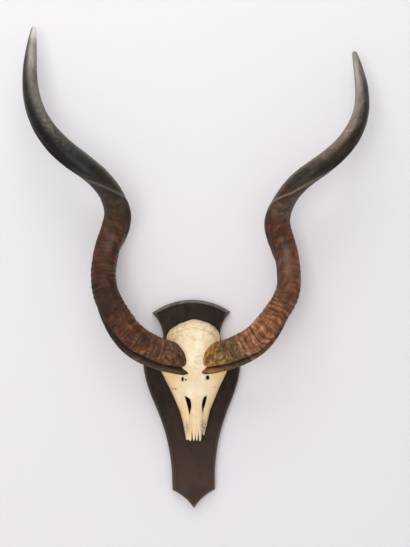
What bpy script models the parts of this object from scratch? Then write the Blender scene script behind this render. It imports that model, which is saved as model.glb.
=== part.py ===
"""Greater kudu horns on a cut skull, fixed to a carved wooden wall shield.

Metres, +Z up. The shield's flat back lies on the wall plane y = 0 and the trophy faces -Y.
The origin is on the shield's back, on its centre line, at its widest height. Left and right are
the viewer's: the left horn is on the -X side.
"""

import math

import bpy
import bmesh
import numpy as np

MM = 0.001
GAP = 0.3 * MM  # clearance left between pieces that touch

# Shield: half outline as corners joined by arcs, (x, z) in metres, and how far each arc bows
SHIELD_THICK = 22 * MM
SHIELD_TOP = (0.000, 0.162)
SHIELD_CORNER = (0.098, 0.1305)
SHIELD_WAIST = (0.071, 0.072)
SHIELD_HIP_TOP = (0.116, 0.010)
SHIELD_HIP = (0.121, -0.008)
SHIELD_FOOT_TOP = (0.054, -0.268)
SHIELD_SHOULDER = (0.053, -0.314)
SHIELD_POINT = (0.000, -0.360)
SHIELD_FLANK_UPPER = (0.112, -0.091)  # the two handles of the flank's S curve
SHIELD_FLANK_LOWER = (0.063, -0.126)
SHIELD_EDGE = 6.5 * MM  # width of the moulding round the front

# Skull: the sawn back lies on the shield's front
SKULL_X = 6 * MM  # it is mounted a little to the right of the shield's centre line
SKULL_BACK = SHIELD_THICK + GAP
# height, half width, how far it stands proud of the shield
SKULL_STATIONS = (
    (0.1135, 0.010, 0.008),
    (0.110, 0.021, 0.022),
    (0.101, 0.043, 0.038),
    (0.086, 0.059, 0.052),
    (0.070, 0.068, 0.062),
    (0.045, 0.064, 0.071),
    (0.020, 0.067, 0.074),
    (0.002, 0.079, 0.073),
    (-0.014, 0.083, 0.071),
    (-0.033, 0.074, 0.066),
    (-0.055, 0.063, 0.060),
    (-0.085, 0.050, 0.052),
    (-0.114, 0.038, 0.044),
    (-0.142, 0.031, 0.036),
    (-0.168, 0.026, 0.030),
    (-0.188, 0.0235, 0.025),
)
SKULL_ROUNDNESS = 2.6  # exponent of the superellipse that rounds each cross section
CUT_FRONT = 0.15  # the cutters reach this far in front of the wall
SKULL_RING = 26
SKULL_RINGS = 30
ORBIT_Z = -0.014
ORBIT_RADIUS = 23 * MM
ORBIT_DEPTH = 16 * MM
# The open slits beside the nose bones, as (x, z) corners
SLIT_LEFT = ((-0.0195, -0.0745), (-0.0115, -0.083), (-0.0030, -0.096), (-0.0055, -0.113), (-0.0072, -0.122),
             (-0.0130, -0.098))
SLIT_RIGHT = ((0.0345, -0.0740), (0.0265, -0.083), (0.0235, -0.093), (0.0245, -0.116), (0.0288, -0.097))
# Notches between the prongs at the nose's end: middle x, half width at the end, top z
NOSE_NOTCHES = (
    (-0.0100, 0.0022, -0.183),
    (-0.0010, 0.0026, -0.170),
    (0.0065, 0.0022, -0.180),
    (0.0143, 0.0026, -0.168),
)
NOSE_END = -0.195
BROKEN_PRONG = ((0.0215, -0.168), (0.0260, -0.1760), (0.0400, -0.1720), (0.0400, NOSE_END),
                (0.0195, NOSE_END))

# Horns: the middle line of each sheath, from inside the skull's socket to the tip
LEFT_ROUTE = (
    (-0.029, -0.075, 0.023),
    (-0.058, -0.089, 0.031),
    (-0.096, -0.108, 0.047),
    (-0.137, -0.124, 0.075),
    (-0.176, -0.121, 0.126),
    (-0.206, -0.105, 0.185),
    (-0.212, -0.078, 0.245),
    (-0.201, -0.060, 0.306),
    (-0.180, -0.082, 0.372),
    (-0.196, -0.118, 0.435),
    (-0.243, -0.138, 0.485),
    (-0.307, -0.140, 0.538),
    (-0.359, -0.122, 0.608),
    (-0.383, -0.096, 0.686),
    (-0.386, -0.072, 0.759),
    (-0.379, -0.050, 0.846),
)
RIGHT_ROUTE = (
    (0.044, -0.075, 0.023),
    (0.073, -0.089, 0.030),
    (0.116, -0.108, 0.046),
    (0.159, -0.124, 0.073),
    (0.200, -0.121, 0.121),
    (0.234, -0.105, 0.173),
    (0.241, -0.078, 0.238),
    (0.234, -0.060, 0.291),
    (0.219, -0.080, 0.352),
    (0.229, -0.108, 0.396),
    (0.264, -0.134, 0.443),
    (0.329, -0.142, 0.491),
    (0.384, -0.130, 0.544),
    (0.419, -0.108, 0.610),
    (0.426, -0.080, 0.682),
    (0.413, -0.050, 0.773),
)
# Sheath radius, keel height and keel bearing at shares of the horn's length. The bearing turns
# from the front (0) towards the head's middle (+90) or the outside (-90), seen along the horn.
RADIUS_AT = ((0.0, 0.0340), (0.12, 0.0330), (0.20, 0.0310), (0.33, 0.0315), (0.40, 0.0295),
             (0.50, 0.0285), (0.60, 0.0267), (0.68, 0.0256), (0.76, 0.0220), (0.84, 0.0188),
             (0.92, 0.0154), (0.97, 0.0113), (0.99, 0.0080), (1.0, 0.0030))
KEEL_AT = ((0.0, 0.012), (0.20, 0.0075), (0.50, 0.008), (0.70, 0.005), (0.85, 0.002), (1.0, 0.0))
BEARING_AT = ((0.0, -66), (0.10, -76), (0.20, -95), (0.27, -140), (0.33, -190), (0.39, -240),
              (0.46, -272), (0.53, -312), (0.60, -392), (0.68, -425), (0.80, -450), (1.0, -470))
RIGHT_GIRTH = 0.95  # the right horn is a little slimmer than the left
KEEL_WIDTH = 0.30  # angular half width of the keel in radians
FOOT_LEAN = 11 * MM  # the foot's rim runs on below and falls back above, fading over FOOT_SHARE
FOOT_SHARE = 0.06
HORN_RINGS = 58
HORN_RING = 22
SOCKET_RINGS = 12  # rings of the horn that the skull's socket is cut for

# Hidden hardware
PLATE_Z = 0.108
PLATE_LENGTH = 62 * MM
PLATE_WIDTH = 20 * MM
PLATE_THICK = 2.0 * MM
PLATE_SCREW_X = 24 * MM
KEYHOLE_HEAD = 5.5 * MM  # radius that lets the wall screw's head in
KEYHOLE_NECK = 2.4 * MM  # half width of the slot that grips it
KEYHOLE_RISE = 5.0 * MM
HEAD_ROOM = 9 * MM  # depth of the pocket behind the plate
SMALL_SCREW = {"head": 3.6 * MM, "shank": 1.7 * MM, "length": 14 * MM, "sink": 2.2 * MM}
LONG_SCREW = {"head": 5.4 * MM, "shank": 2.6 * MM, "length": 50 * MM, "sink": 3.4 * MM}
SKULL_SCREW_Z = {"upper": 0.062, "lower": -0.072}

WOOD = (0.030, 0.020, 0.017, 1.0)
BONE = (0.78, 0.69, 0.50, 1.0)
HORN = (0.115, 0.058, 0.034, 1.0)
STEEL = (0.55, 0.55, 0.56, 1.0)


def clear_scene():
    for thing in list(bpy.data.objects):
        bpy.data.objects.remove(thing, do_unlink=True)


def make_collection(name, hidden=False):
    group = bpy.data.collections.new(name)
    bpy.context.scene.collection.children.link(group)
    group.hide_render = hidden
    return group


def finish(name, colour, roughness, metallic=0.0):
    """One Principled material for one piece."""
    material = bpy.data.materials.new(name)
    material.use_nodes = True
    shader = material.node_tree.nodes["Principled BSDF"]
    shader.inputs["Base Color"].default_value = colour
    shader.inputs["Roughness"].default_value = roughness
    shader.inputs["Metallic"].default_value = metallic
    material.diffuse_color = colour
    return material


def add_object(name, mesh, group, material=None):
    thing = bpy.data.objects.new(name, mesh)
    group.objects.link(thing)
    if material:
        mesh.materials.clear()
        mesh.materials.append(material)
    if group is CUTTERS:
        thing.display_type = "WIRE"
        thing.hide_render = True
    return thing


def mesh_of(name, shape):
    """Turns a bmesh into a mesh whose faces all look outwards."""
    bmesh.ops.recalc_face_normals(shape, faces=shape.faces)
    mesh = bpy.data.meshes.new(name)
    shape.to_mesh(mesh)
    shape.free()
    return mesh


def loft(name, rings):
    """A closed skin over rings of equally many points, with a flat face on the first and last."""
    shape = bmesh.new()
    loops = [[shape.verts.new(point) for point in ring] for ring in rings]
    for lower, upper in zip(loops, loops[1:]):
        for i in range(len(lower)):
            j = (i + 1) % len(lower)
            shape.faces.new((lower[i], lower[j], upper[j], upper[i]))
    shape.faces.new(loops[0])
    shape.faces.new(loops[-1])
    bmesh.ops.triangulate(shape, faces=shape.faces, quad_method="FIXED")
    return mesh_of(name, shape)


def cylinder(name, radius_low, radius_high, start, end, sides=20):
    """A cone frustum along Y or X from one end point to the other."""
    start, end = np.array(start), np.array(end)
    axis = (end - start) / np.linalg.norm(end - start)
    side = np.cross(axis, (0.0, 0.0, 1.0))
    up = np.cross(side, axis)
    turn = np.linspace(0, 2 * math.pi, sides, endpoint=False)[:, None]
    around = np.cos(turn) * side + np.sin(turn) * up
    return loft(name, [start + radius_low * around, end + radius_high * around])


def prism(name, outline, front, back):
    """A flat outline in X and Z, carried from y = -front to y = -back."""
    rings = [[(x, -depth, z) for x, z in outline] for depth in (front, back)]
    return loft(name, rings)


def cut(target, cutter):
    """Takes the cutter's shape out of the target."""
    step = target.modifiers.new("cut " + cutter.name, "BOOLEAN")
    step.operation = "DIFFERENCE"
    step.solver = "EXACT"
    step.object = cutter


def arc(start, end, bow, steps):
    """Points of the circular arc from start towards end, bowing to the left by `bow`."""
    start, end = np.array(start), np.array(end)
    chord = end - start
    half = np.linalg.norm(chord) / 2
    across = np.array((-chord[1], chord[0])) / (2 * half)
    radius = (half**2 + bow**2) / (2 * bow)
    centre = (start + end) / 2 + across * (bow - radius)
    first = np.arctan2(*(start - centre)[::-1])
    swing = np.arctan2(*(end - centre)[::-1]) - first
    swing = (swing + math.pi) % (2 * math.pi) - math.pi
    turn = first + swing * np.arange(steps) / steps
    return centre + abs(radius) * np.column_stack((np.cos(turn), np.sin(turn)))


def s_curve(start, pull, push, end, steps):
    """Points of a cubic Bezier curve, without its end."""
    t = np.arange(steps)[:, None] / steps
    ends = (1 - t) ** 3 * np.array(start) + t**3 * np.array(end)
    return ends + 3 * (1 - t) ** 2 * t * np.array(pull) + 3 * (1 - t) * t**2 * np.array(push)


def spline(points, shares):
    """A natural cubic spline through the points, read at shares of its length."""
    points = np.array(points)
    knots = np.concatenate(([0.0], np.cumsum(np.linalg.norm(np.diff(points, axis=0), axis=1))))
    gaps = np.diff(knots)
    count = len(points)
    system = np.eye(count)
    bend = np.zeros_like(points)
    for i in range(1, count - 1):
        system[i, i - 1: i + 2] = gaps[i - 1], 2 * (gaps[i - 1] + gaps[i]), gaps[i]
        slopes = (points[i + 1] - points[i]) / gaps[i] - (points[i] - points[i - 1]) / gaps[i - 1]
        bend[i] = 6 * slopes
    bend = np.linalg.solve(system, bend)

    def read(at):
        i = np.clip(np.searchsorted(knots, at, side="right") - 1, 0, count - 2)
        h = gaps[i][:, None]
        a = (knots[i + 1] - at)[:, None] / h
        b = 1 - a
        curve = ((a**3 - a) * bend[i] + (b**3 - b) * bend[i + 1]) * h**2 / 6
        return a * points[i] + b * points[i + 1] + curve

    fine = np.linspace(0, knots[-1], 800)
    run = np.concatenate(([0.0], np.cumsum(np.linalg.norm(np.diff(read(fine), axis=0), axis=1))))
    return read(np.interp(np.asarray(shares) * run[-1], run, fine))


def read_table(table, shares):
    """Reads a table of (share, value) with straight steps between its rows."""
    rows = np.array(table)
    return np.interp(shares, rows[:, 0], rows[:, 1])


def half_outline():
    """The shield's right half, from the top of its arch down to its point."""
    return np.concatenate((
        arc(SHIELD_TOP, SHIELD_CORNER, 8 * MM, 9),
        arc(SHIELD_CORNER, SHIELD_WAIST, -6 * MM, 7),
        arc(SHIELD_WAIST, SHIELD_HIP_TOP, -9 * MM, 7),
        arc(SHIELD_HIP_TOP, SHIELD_HIP, 3 * MM, 4),
        s_curve(SHIELD_HIP, SHIELD_FLANK_UPPER, SHIELD_FLANK_LOWER, SHIELD_FOOT_TOP, 16),
        [SHIELD_FOOT_TOP],
        arc(SHIELD_SHOULDER, SHIELD_POINT, -5 * MM, 7),
        [SHIELD_POINT],
    ))


def shield(group):
    """The board: its outline mirrored, extruded, and its front edge rounded into a moulding."""
    half = half_outline()
    outline = np.concatenate((half, half[-2:0:-1] * (-1, 1)))
    drawn = bpy.data.curves.new("shield outline", "CURVE")
    drawn.dimensions = "2D"
    drawn.fill_mode = "BOTH"
    drawn.extrude = SHIELD_THICK / 2
    line = drawn.splines.new("POLY")
    line.points.add(len(outline) - 1)
    line.use_cyclic_u = True
    for point, (x, z) in zip(line.points, outline):
        point.co = (x, z, 0.0, 1.0)
    raised = bpy.data.objects.new("shield outline", drawn)
    group.objects.link(raised)
    raised.rotation_euler = (math.pi / 2, 0.0, 0.0)
    raised.location = (0.0, -SHIELD_THICK / 2, 0.0)
    bpy.context.view_layer.update()
    mesh = bpy.data.meshes.new_from_object(raised.evaluated_get(bpy.context.evaluated_depsgraph_get()))
    board = add_object("shield", mesh, group, finish("stained wood", WOOD, 0.45))
    board.matrix_world = raised.matrix_world
    bpy.data.objects.remove(raised)
    shape = bmesh.new()
    shape.from_mesh(mesh)
    bmesh.ops.remove_doubles(shape, verts=shape.verts, dist=0.01 * MM)
    weight = shape.edges.layers.float.new("bevel_weight_edge")
    for edge in shape.edges:
        on_front = all(vert.co.z > SHIELD_THICK / 2 - GAP for vert in edge.verts)
        is_rim = any(abs(face.normal.z) < 0.5 for face in edge.link_faces)
        edge[weight] = 1.0 if on_front and is_rim else 0.0
    shape.to_mesh(mesh)
    shape.free()
    rim = board.modifiers.new("moulding", "BEVEL")
    rim.limit_method = "WEIGHT"
    rim.width = SHIELD_EDGE
    rim.segments = 3
    rim.profile = 0.35
    return board


def skull(group):
    """Cross sections down the face, each a flat back under a rounded front."""
    stations = np.array(SKULL_STATIONS)
    shares = np.linspace(0, 1, SKULL_RINGS) ** 1.15
    heights = stations[0, 0] + (stations[-1, 0] - stations[0, 0]) * shares
    order = stations[::-1]
    turn = np.linspace(0, math.pi, SKULL_RING)
    power = 2 / SKULL_ROUNDNESS
    across = np.sign(np.cos(turn)) * np.abs(np.cos(turn)) ** power
    proud = np.sin(turn) ** power
    rings = []
    for z in heights:
        width = np.interp(z, order[:, 0], order[:, 1])
        depth = np.interp(z, order[:, 0], order[:, 2])
        ring = np.column_stack((SKULL_X + width * across, -SKULL_BACK - depth * proud,
                                np.full(SKULL_RING, z)))
        rings.append(ring)
    return add_object("skull", loft("skull", rings), group, finish("bone", BONE, 0.55))


def cut_skull(bone):
    """The eye sockets, the slits beside the nose bones and the gaps between the nose's prongs."""
    for name, side in (("left", -1), ("right", 1)):
        inner = SKULL_X + side * (SKULL_STATIONS[8][1] - ORBIT_DEPTH)
        outer = SKULL_X + side * 0.12
        mesh = cylinder(f"orbit {name}", 0.6 * ORBIT_RADIUS, 1.9 * ORBIT_RADIUS,
                        (inner, -SKULL_BACK, ORBIT_Z), (outer, -SKULL_BACK, ORBIT_Z))
        cut(bone, add_object(f"orbit {name}", mesh, CUTTERS))
    openings = {"slit left": SLIT_LEFT, "slit right": SLIT_RIGHT, "broken prong": BROKEN_PRONG}
    for number, (x, half, top) in enumerate(NOSE_NOTCHES):
        openings[f"notch {number}"] = ((x, top), (x + half, NOSE_END), (x - half, NOSE_END))
    for name, outline in openings.items():
        cut(bone, add_object(name, prism(name, outline, CUT_FRONT, SHIELD_THICK / 2), CUTTERS))


def horn_rings(route, side, girth, grow=0.0):
    """Round sections with a raised keel, set square on the horn's middle line.

    In each section the keel adds its height times a bell curve of the angle from its bearing.
    Near the foot the sections lean over, by the sine of the angle from the front.
    """
    shares = np.linspace(0, 1, HORN_RINGS) ** 0.96
    middle = spline(route, shares)
    along = np.gradient(middle, axis=0)
    along /= np.linalg.norm(along, axis=1)[:, None]
    front = np.array((0.0, -1.0, 0.0)) - along * -along[:, 1:2]
    front /= np.linalg.norm(front, axis=1)[:, None]
    inward = np.cross(front, along) * side
    radius = read_table(RADIUS_AT, shares) * girth + grow
    keel = read_table(KEEL_AT, shares)
    bearing = np.radians(read_table(BEARING_AT, shares))
    turn = np.linspace(0, 2 * math.pi, HORN_RING, endpoint=False)
    # points gather round the keel, so that its ridge keeps its shape
    turn = turn - 0.55 * np.sin(turn)
    reach = radius[:, None] + keel[:, None] * np.exp(-(np.sin(turn / 2) * 2 / KEEL_WIDTH) ** 2)
    angle = bearing[:, None] + turn
    spread = np.cos(angle)[..., None] * front[:, None] + np.sin(angle)[..., None] * inward[:, None]
    lean = FOOT_LEAN * np.clip(1 - shares / FOOT_SHARE, 0, 1)[:, None] * np.sin(angle)
    return middle[:, None] + reach[..., None] * spread + lean[..., None] * along[:, None]


def horn(name, route, side, girth, group):
    mesh = loft(name, horn_rings(route, side, girth))
    return add_object(name, mesh, group, finish(f"{name} keratin", HORN, 0.42))


def socket(name, route, side, girth):
    """The room that a horn's foot takes in the skull: its own shape, a gap larger all round."""
    rings = horn_rings(route, side, girth, GAP)[:SOCKET_RINGS]
    away = rings[0].mean(axis=0) - rings[1].mean(axis=0)
    rings[0] += GAP * away / np.linalg.norm(away)
    return add_object(name, loft(name, rings), CUTTERS)


def screw(name, x, z, size, group):
    """A countersunk wood screw, driven in from the back."""
    head, shank, length, sink = (size[key] for key in ("head", "shank", "length", "sink"))
    profile = ((head, 0.5 * GAP), (shank, sink), (shank, length - 2 * shank), (0.3 * shank, length))
    turn = np.linspace(0, 2 * math.pi, 12, endpoint=False)
    rings = [np.column_stack((x + radius * np.cos(turn), np.full(12, -depth), z + radius * np.sin(turn)))
             for radius, depth in profile]
    return add_object(name, loft(name, rings), group, finish("screw steel", STEEL, 0.35, 1.0))


def screw_hole(name, x, z, size):
    """The hole a screw sits in: the screw's own profile, a gap wider, open at the back."""
    head, shank, length, sink = (size[key] for key in ("head", "shank", "length", "sink"))
    profile = ((head + 4 * GAP, -3 * GAP), (head + GAP, GAP), (shank + GAP, sink + GAP),
               (shank + GAP, length + GAP))
    turn = np.linspace(0, 2 * math.pi, 12, endpoint=False)
    rings = [np.column_stack((x + radius * np.cos(turn), np.full(12, -depth), z + radius * np.sin(turn)))
             for radius, depth in profile]
    return add_object(name, loft(name, rings), CUTTERS)


def stadium(length, width, z):
    """A rectangle with round ends, lying along X."""
    turn = np.linspace(-math.pi / 2, math.pi / 2, 7)
    radius = width / 2
    right = np.column_stack((length / 2 - radius + radius * np.cos(turn), z + radius * np.sin(turn)))
    left = right * (-1, 1)
    return np.concatenate((right, left[::-1]))


def keyhole():
    """A round hole for the screw's head with a narrow slot rising from it."""
    lean = math.asin(KEYHOLE_NECK / KEYHOLE_HEAD)
    start = math.pi / 2 + lean
    turn = np.linspace(start, start + 2 * math.pi - 2 * lean, 15)
    low = PLATE_Z - 3 * MM
    head = np.column_stack((KEYHOLE_HEAD * np.cos(turn), low + KEYHOLE_HEAD * np.sin(turn)))
    turn = np.linspace(0, math.pi, 6)
    top = low + KEYHOLE_RISE + KEYHOLE_HEAD * math.cos(lean)
    neck = np.column_stack((KEYHOLE_NECK * np.cos(turn), top - KEYHOLE_NECK + KEYHOLE_NECK * np.sin(turn)))
    return np.concatenate((head, neck))


def hanger(board, group):
    """The keyhole plate and its two screws, flush in a pocket in the shield's back."""
    plate = add_object("hanger_plate", prism("hanger_plate", stadium(PLATE_LENGTH, PLATE_WIDTH, PLATE_Z),
                                             PLATE_THICK, 0.0), group, finish("plate steel", STEEL, 0.4, 1.0))
    cut(plate, add_object("keyhole", prism("keyhole", keyhole(), 2 * PLATE_THICK, -PLATE_THICK), CUTTERS))
    pocket = stadium(PLATE_LENGTH + 2 * GAP, PLATE_WIDTH + 2 * GAP, PLATE_Z)
    cut(board, add_object("plate pocket", prism("plate pocket", pocket, PLATE_THICK + GAP, -GAP), CUTTERS))
    room = stadium(22 * MM, 17 * MM, PLATE_Z)
    cut(board, add_object("head room", prism("head room", room, HEAD_ROOM, 0.0), CUTTERS))
    for name, x in (("left", -PLATE_SCREW_X), ("right", PLATE_SCREW_X)):
        screw(f"hanger_screw_{name}", x, PLATE_Z, SMALL_SCREW, group)
        hole = screw_hole(f"plate hole {name}", x, PLATE_Z, SMALL_SCREW)
        cut(plate, hole)
        cut(board, hole)


def main():
    parts = make_collection("kudu_horns_on_shield")
    board = shield(parts)
    bone = skull(parts)
    cut_skull(bone)
    for name, route, side, girth in (("left", LEFT_ROUTE, -1, 1.0), ("right", RIGHT_ROUTE, 1, RIGHT_GIRTH)):
        horn(f"horn_{name}", route, side, girth, parts)
        cut(bone, socket(f"socket {name}", route, side, girth))
    hanger(board, parts)
    for name, z in SKULL_SCREW_Z.items():
        screw(f"skull_screw_{name}", SKULL_X, z, LONG_SCREW, parts)
        hole = screw_hole(f"skull hole {name}", SKULL_X, z, LONG_SCREW)
        cut(board, hole)
        cut(bone, hole)


clear_scene()
CUTTERS = make_collection("cutters", hidden=True)
main()
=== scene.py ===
"""Looks of a pair of greater kudu horns on a cut skull, fixed to a dark wooden wall shield.

Metres, +Z up; the wall is the plane y = 0 and the trophy faces -Y. Left and right are the viewer's.
Every shape below is a formula on a grid: rows run along a piece and columns run across or round it.
"""

import itertools
import math

import bmesh
import bpy
import numpy as np
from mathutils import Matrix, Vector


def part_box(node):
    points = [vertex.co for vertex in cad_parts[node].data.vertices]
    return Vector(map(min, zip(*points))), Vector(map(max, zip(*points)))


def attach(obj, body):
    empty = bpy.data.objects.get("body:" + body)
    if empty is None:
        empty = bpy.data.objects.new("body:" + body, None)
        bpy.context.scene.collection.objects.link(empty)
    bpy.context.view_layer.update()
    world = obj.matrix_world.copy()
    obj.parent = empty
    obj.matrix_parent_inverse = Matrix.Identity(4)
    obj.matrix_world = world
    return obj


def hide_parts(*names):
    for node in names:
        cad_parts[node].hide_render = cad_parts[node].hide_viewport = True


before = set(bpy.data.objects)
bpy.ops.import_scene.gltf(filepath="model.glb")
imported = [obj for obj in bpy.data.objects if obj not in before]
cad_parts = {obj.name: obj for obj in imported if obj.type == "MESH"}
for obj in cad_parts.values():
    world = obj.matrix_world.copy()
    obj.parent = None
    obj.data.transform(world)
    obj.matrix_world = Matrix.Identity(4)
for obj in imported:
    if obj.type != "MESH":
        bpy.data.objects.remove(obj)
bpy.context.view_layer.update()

MM = 0.001
WELD = 0.002 * MM

# Horns: the same middle lines as the solid model's, from inside the skull to the tip
LEFT_ROUTE = (
    (-0.029, -0.075, 0.023), (-0.058, -0.089, 0.031), (-0.096, -0.108, 0.047), (-0.137, -0.124, 0.075),
    (-0.176, -0.121, 0.126), (-0.206, -0.105, 0.185), (-0.212, -0.078, 0.245), (-0.201, -0.060, 0.306),
    (-0.180, -0.082, 0.372), (-0.196, -0.118, 0.435), (-0.243, -0.138, 0.485), (-0.307, -0.140, 0.538),
    (-0.359, -0.122, 0.608), (-0.383, -0.096, 0.686), (-0.386, -0.072, 0.759), (-0.379, -0.050, 0.846),
)
RIGHT_ROUTE = (
    (0.044, -0.075, 0.023), (0.073, -0.089, 0.030), (0.116, -0.108, 0.046), (0.159, -0.124, 0.073),
    (0.200, -0.121, 0.121), (0.234, -0.105, 0.173), (0.241, -0.078, 0.238), (0.234, -0.060, 0.291),
    (0.219, -0.080, 0.352), (0.229, -0.108, 0.396), (0.264, -0.134, 0.443), (0.329, -0.142, 0.491),
    (0.384, -0.130, 0.544), (0.419, -0.108, 0.610), (0.426, -0.080, 0.682), (0.413, -0.050, 0.773),
)
# Sizes of the horn's section in metres, as (share of the horn's length, size)
RADIUS_AT = ((0.0, 0.0340), (0.12, 0.0330), (0.20, 0.0310), (0.33, 0.0315), (0.40, 0.0295),
             (0.50, 0.0285), (0.60, 0.0267), (0.68, 0.0256), (0.76, 0.0220), (0.84, 0.0188),
             (0.91, 0.0158), (0.965, 0.0108), (0.985, 0.0080), (1.0, 0.0050))
KEEL_AT = ((0.0, 0.0095), (0.10, 0.0110), (0.16, 0.0115), (0.22, 0.0085), (0.45, 0.0085),
           (0.60, 0.0070), (0.70, 0.0035), (0.85, 0.0012), (1.0, 0.0))
# Where the keel and the groove beside it lie round the horn, in degrees: 0 faces the front, 90 the inside
LEFT_KEEL = ((0.0, -62), (0.05, -71), (0.09, -80), (0.13, -93), (0.156, -99), (0.20, -106),
             (0.27, -140), (0.33, -190), (0.39, -240), (0.46, -284), (0.494, -305), (0.510, -329),
             (0.523, -346), (0.540, -364), (0.554, -378), (0.580, -404), (0.63, -425), (0.70, -438),
             (0.80, -452), (1.0, -470))
LEFT_GROOVE = ((0.0, -44), (0.049, -52), (0.093, -57), (0.112, -64), (0.131, -72), (0.156, -79),
               (0.187, -92), (0.22, -102), (0.27, -130), (0.33, -178), (0.39, -228), (0.46, -272),
               (0.60, -400), (1.0, -458))
RIGHT_KEEL = ((0.0, -64), (0.05, -76), (0.10, -93), (0.13, -102), (0.16, -106), (0.20, -112), (0.27, -146),
              (0.33, -190), (0.39, -240), (0.46, -276), (0.515, -307), (0.540, -338), (0.564, -369),
              (0.592, -387), (0.619, -398), (0.648, -404), (0.72, -425), (0.80, -450), (1.0, -470))
RIGHT_GROOVE = ((0.0, -46), (0.024, -50), (0.056, -60), (0.083, -66), (0.106, -75), (0.128, -86),
                (0.157, -94), (0.20, -102), (0.27, -134), (0.33, -178), (0.39, -228), (0.46, -264),
                (0.60, -380), (1.0, -458))
GROOVE_AT = ((0.0, 0.0035), (0.05, 0.0070), (0.12, 0.0080), (0.22, 0.0065), (0.30, 0.004), (0.40, 0.002),
             (0.60, 0.0010), (0.75, 0.0), (1.0, 0.0))
# The groove's half width, in radians
GROOVE_WIDTH = ((0.0, 0.09), (0.05, 0.11), (0.09, 0.18), (0.14, 0.24), (0.20, 0.24), (0.30, 0.12),
                (1.0, 0.08))
# Heights of the broad growth waves and of the fine hoops, in millimetres
WAVE_AT = ((0.0, 0.1), (0.05, 0.6), (0.11, 1.0), (0.16, 1.45), (0.22, 1.5), (0.28, 1.0), (0.36, 0.5),
           (0.50, 0.35), (0.70, 0.15), (1.0, 0.0))
HOOP_AT = ((0.0, 0.0), (0.05, 0.12), (0.09, 0.75), (0.16, 0.55), (0.25, 0.35), (0.40, 0.20), (0.50, 0.08),
           (0.75, 0.04), (1.0, 0.0))
WAVE_SPACING = 13.5 * MM
HOOP_SPACING = 6.0 * MM
RIGHT_GIRTH = 0.95  # how much thinner the right horn is
# How far the foot's rim is shifted along the horn, in millimetres, by its bearing in degrees
FOOT_RIM = ((-180, 10.0), (-110, 4.0), (-92, -4.0), (-84, -13.0), (-77, -21.0), (-70, -23.5), (-59, -23.5),
            (-54, -18.0), (-49, -8.0), (-45, -6.0), (-34, -8.5), (-5, -7.0), (35, 1.0), (60, 9.0), (90, 17.0),
            (180, 10.0))
FOOT_SHARE = 0.06
# The foot's lip, which closes the horn inside the skull: how far in, how far along in millimetres
FOOT_LIP = ((0.0, 5.0), (0.7, 3.5), (0.90, 0.4), (0.965, -0.6))
TIP_START = 0.994  # the last stretch rounds off
TURN_RADIUS = 0.03  # the straightened horn, which the noise is drawn on, is a rod of this radius
KEEL_WIDTH = 0.60
CREST_WIDTH = 0.19
OVAL = 0.025
LEDGE_SPACING = 10 * MM
HORN_ROWS = 880
HORN_COLUMNS = 112
FOOT_CROWDING = 1.12  # rows lie closer towards the foot
KEEL_CROWDING = 0.45  # columns lie closer at the keel

# Painted highlights, pale bands where the light catches the horn: share, spread, bearing in degrees, spread
# in radians, weight
LEFT_HIGHLIGHTS = ((0.38, 0.035, 10, 0.35, 0.26), (0.60, 0.090, 75, 0.45, 0.40), (0.80, 0.060, 45, 0.50, 0.35),
               (0.925, 0.060, 8, 0.55, 0.75))
RIGHT_HIGHLIGHTS = ((0.36, 0.060, 5, 0.35, 0.30), (0.925, 0.050, 40, 0.50, 0.95), (0.84, 0.050, 60, 0.45, 0.50),
                (0.75, 0.070, 45, 0.60, 0.42), (0.60, 0.100, 75, 0.45, 0.42))
# Darkened flanks, painted shade on the sides turned from the light and dark blots: from share, to share,
# bearing in degrees, spread in radians, weight
LEFT_SHADE_AND_BLOT = ((0.29, 0.47, 85, 0.40, 0.55), (0.52, 0.90, -80, 0.60, 0.85), (0.09, 0.44, -88, 0.70, 0.75),
             (0.06, 0.155, 25, 0.60, 0.80), (0.84, 1.05, -62, 0.55, 0.90))
RIGHT_SHADE_AND_BLOT = ((0.50, 0.74, -85, 0.50, 0.65), (0.26, 0.46, 82, 0.55, 0.70), (0.005, 0.105, 40, 0.55, 0.60),
              (0.10, 0.24, -80, 0.35, 0.60))
# The left horn's chipped patch: share, spread, bearing and spread in radians
LEFT_WORN = (0.740, 0.060, 0.60, 0.55)

# Shield: half outline as corners joined by arcs and one S curve, (x, z)
SHIELD_THICK = 22 * MM
SHIELD_TOP = (0.000, 0.162)
SHIELD_CORNER = (0.098, 0.1305)
SHIELD_WAIST = (0.071, 0.072)
SHIELD_HIP_TOP = (0.116, 0.010)
SHIELD_HIP = (0.121, -0.008)
SHIELD_FLANK_UPPER = (0.112, -0.091)
SHIELD_FLANK_LOWER = (0.063, -0.126)
SHIELD_FOOT_TOP = (0.054, -0.268)
SHIELD_SHOULDER = (0.053, -0.314)
SHIELD_POINT = (0.000, -0.360)
# The edge's section in millimetres, from the back to the front: how far in, how far forward
SHIELD_EDGE = ((0.8, 0.0), (0.2, 0.25), (0.0, 0.9), (0.0, 14.2), (0.25, 14.9), (0.9, 15.2), (1.7, 15.4),
               (2.2, 16.6), (3.0, 18.3), (4.1, 19.8), (5.4, 20.9), (6.4, 21.35), (6.8, 21.1), (7.2, 21.2),
               (7.5, 21.75), (8.1, 22.0), (9.0, 22.0))

# Skull: its middle line, and the plane of its sawn back just off the shield
SKULL_X = 6 * MM
NOSE_X = 9.5 * MM  # the face's midline leans a little to the right
SKULL_BACK = SHIELD_THICK + 0.3 * MM
SKULL_TOP = 0.1135
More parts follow.
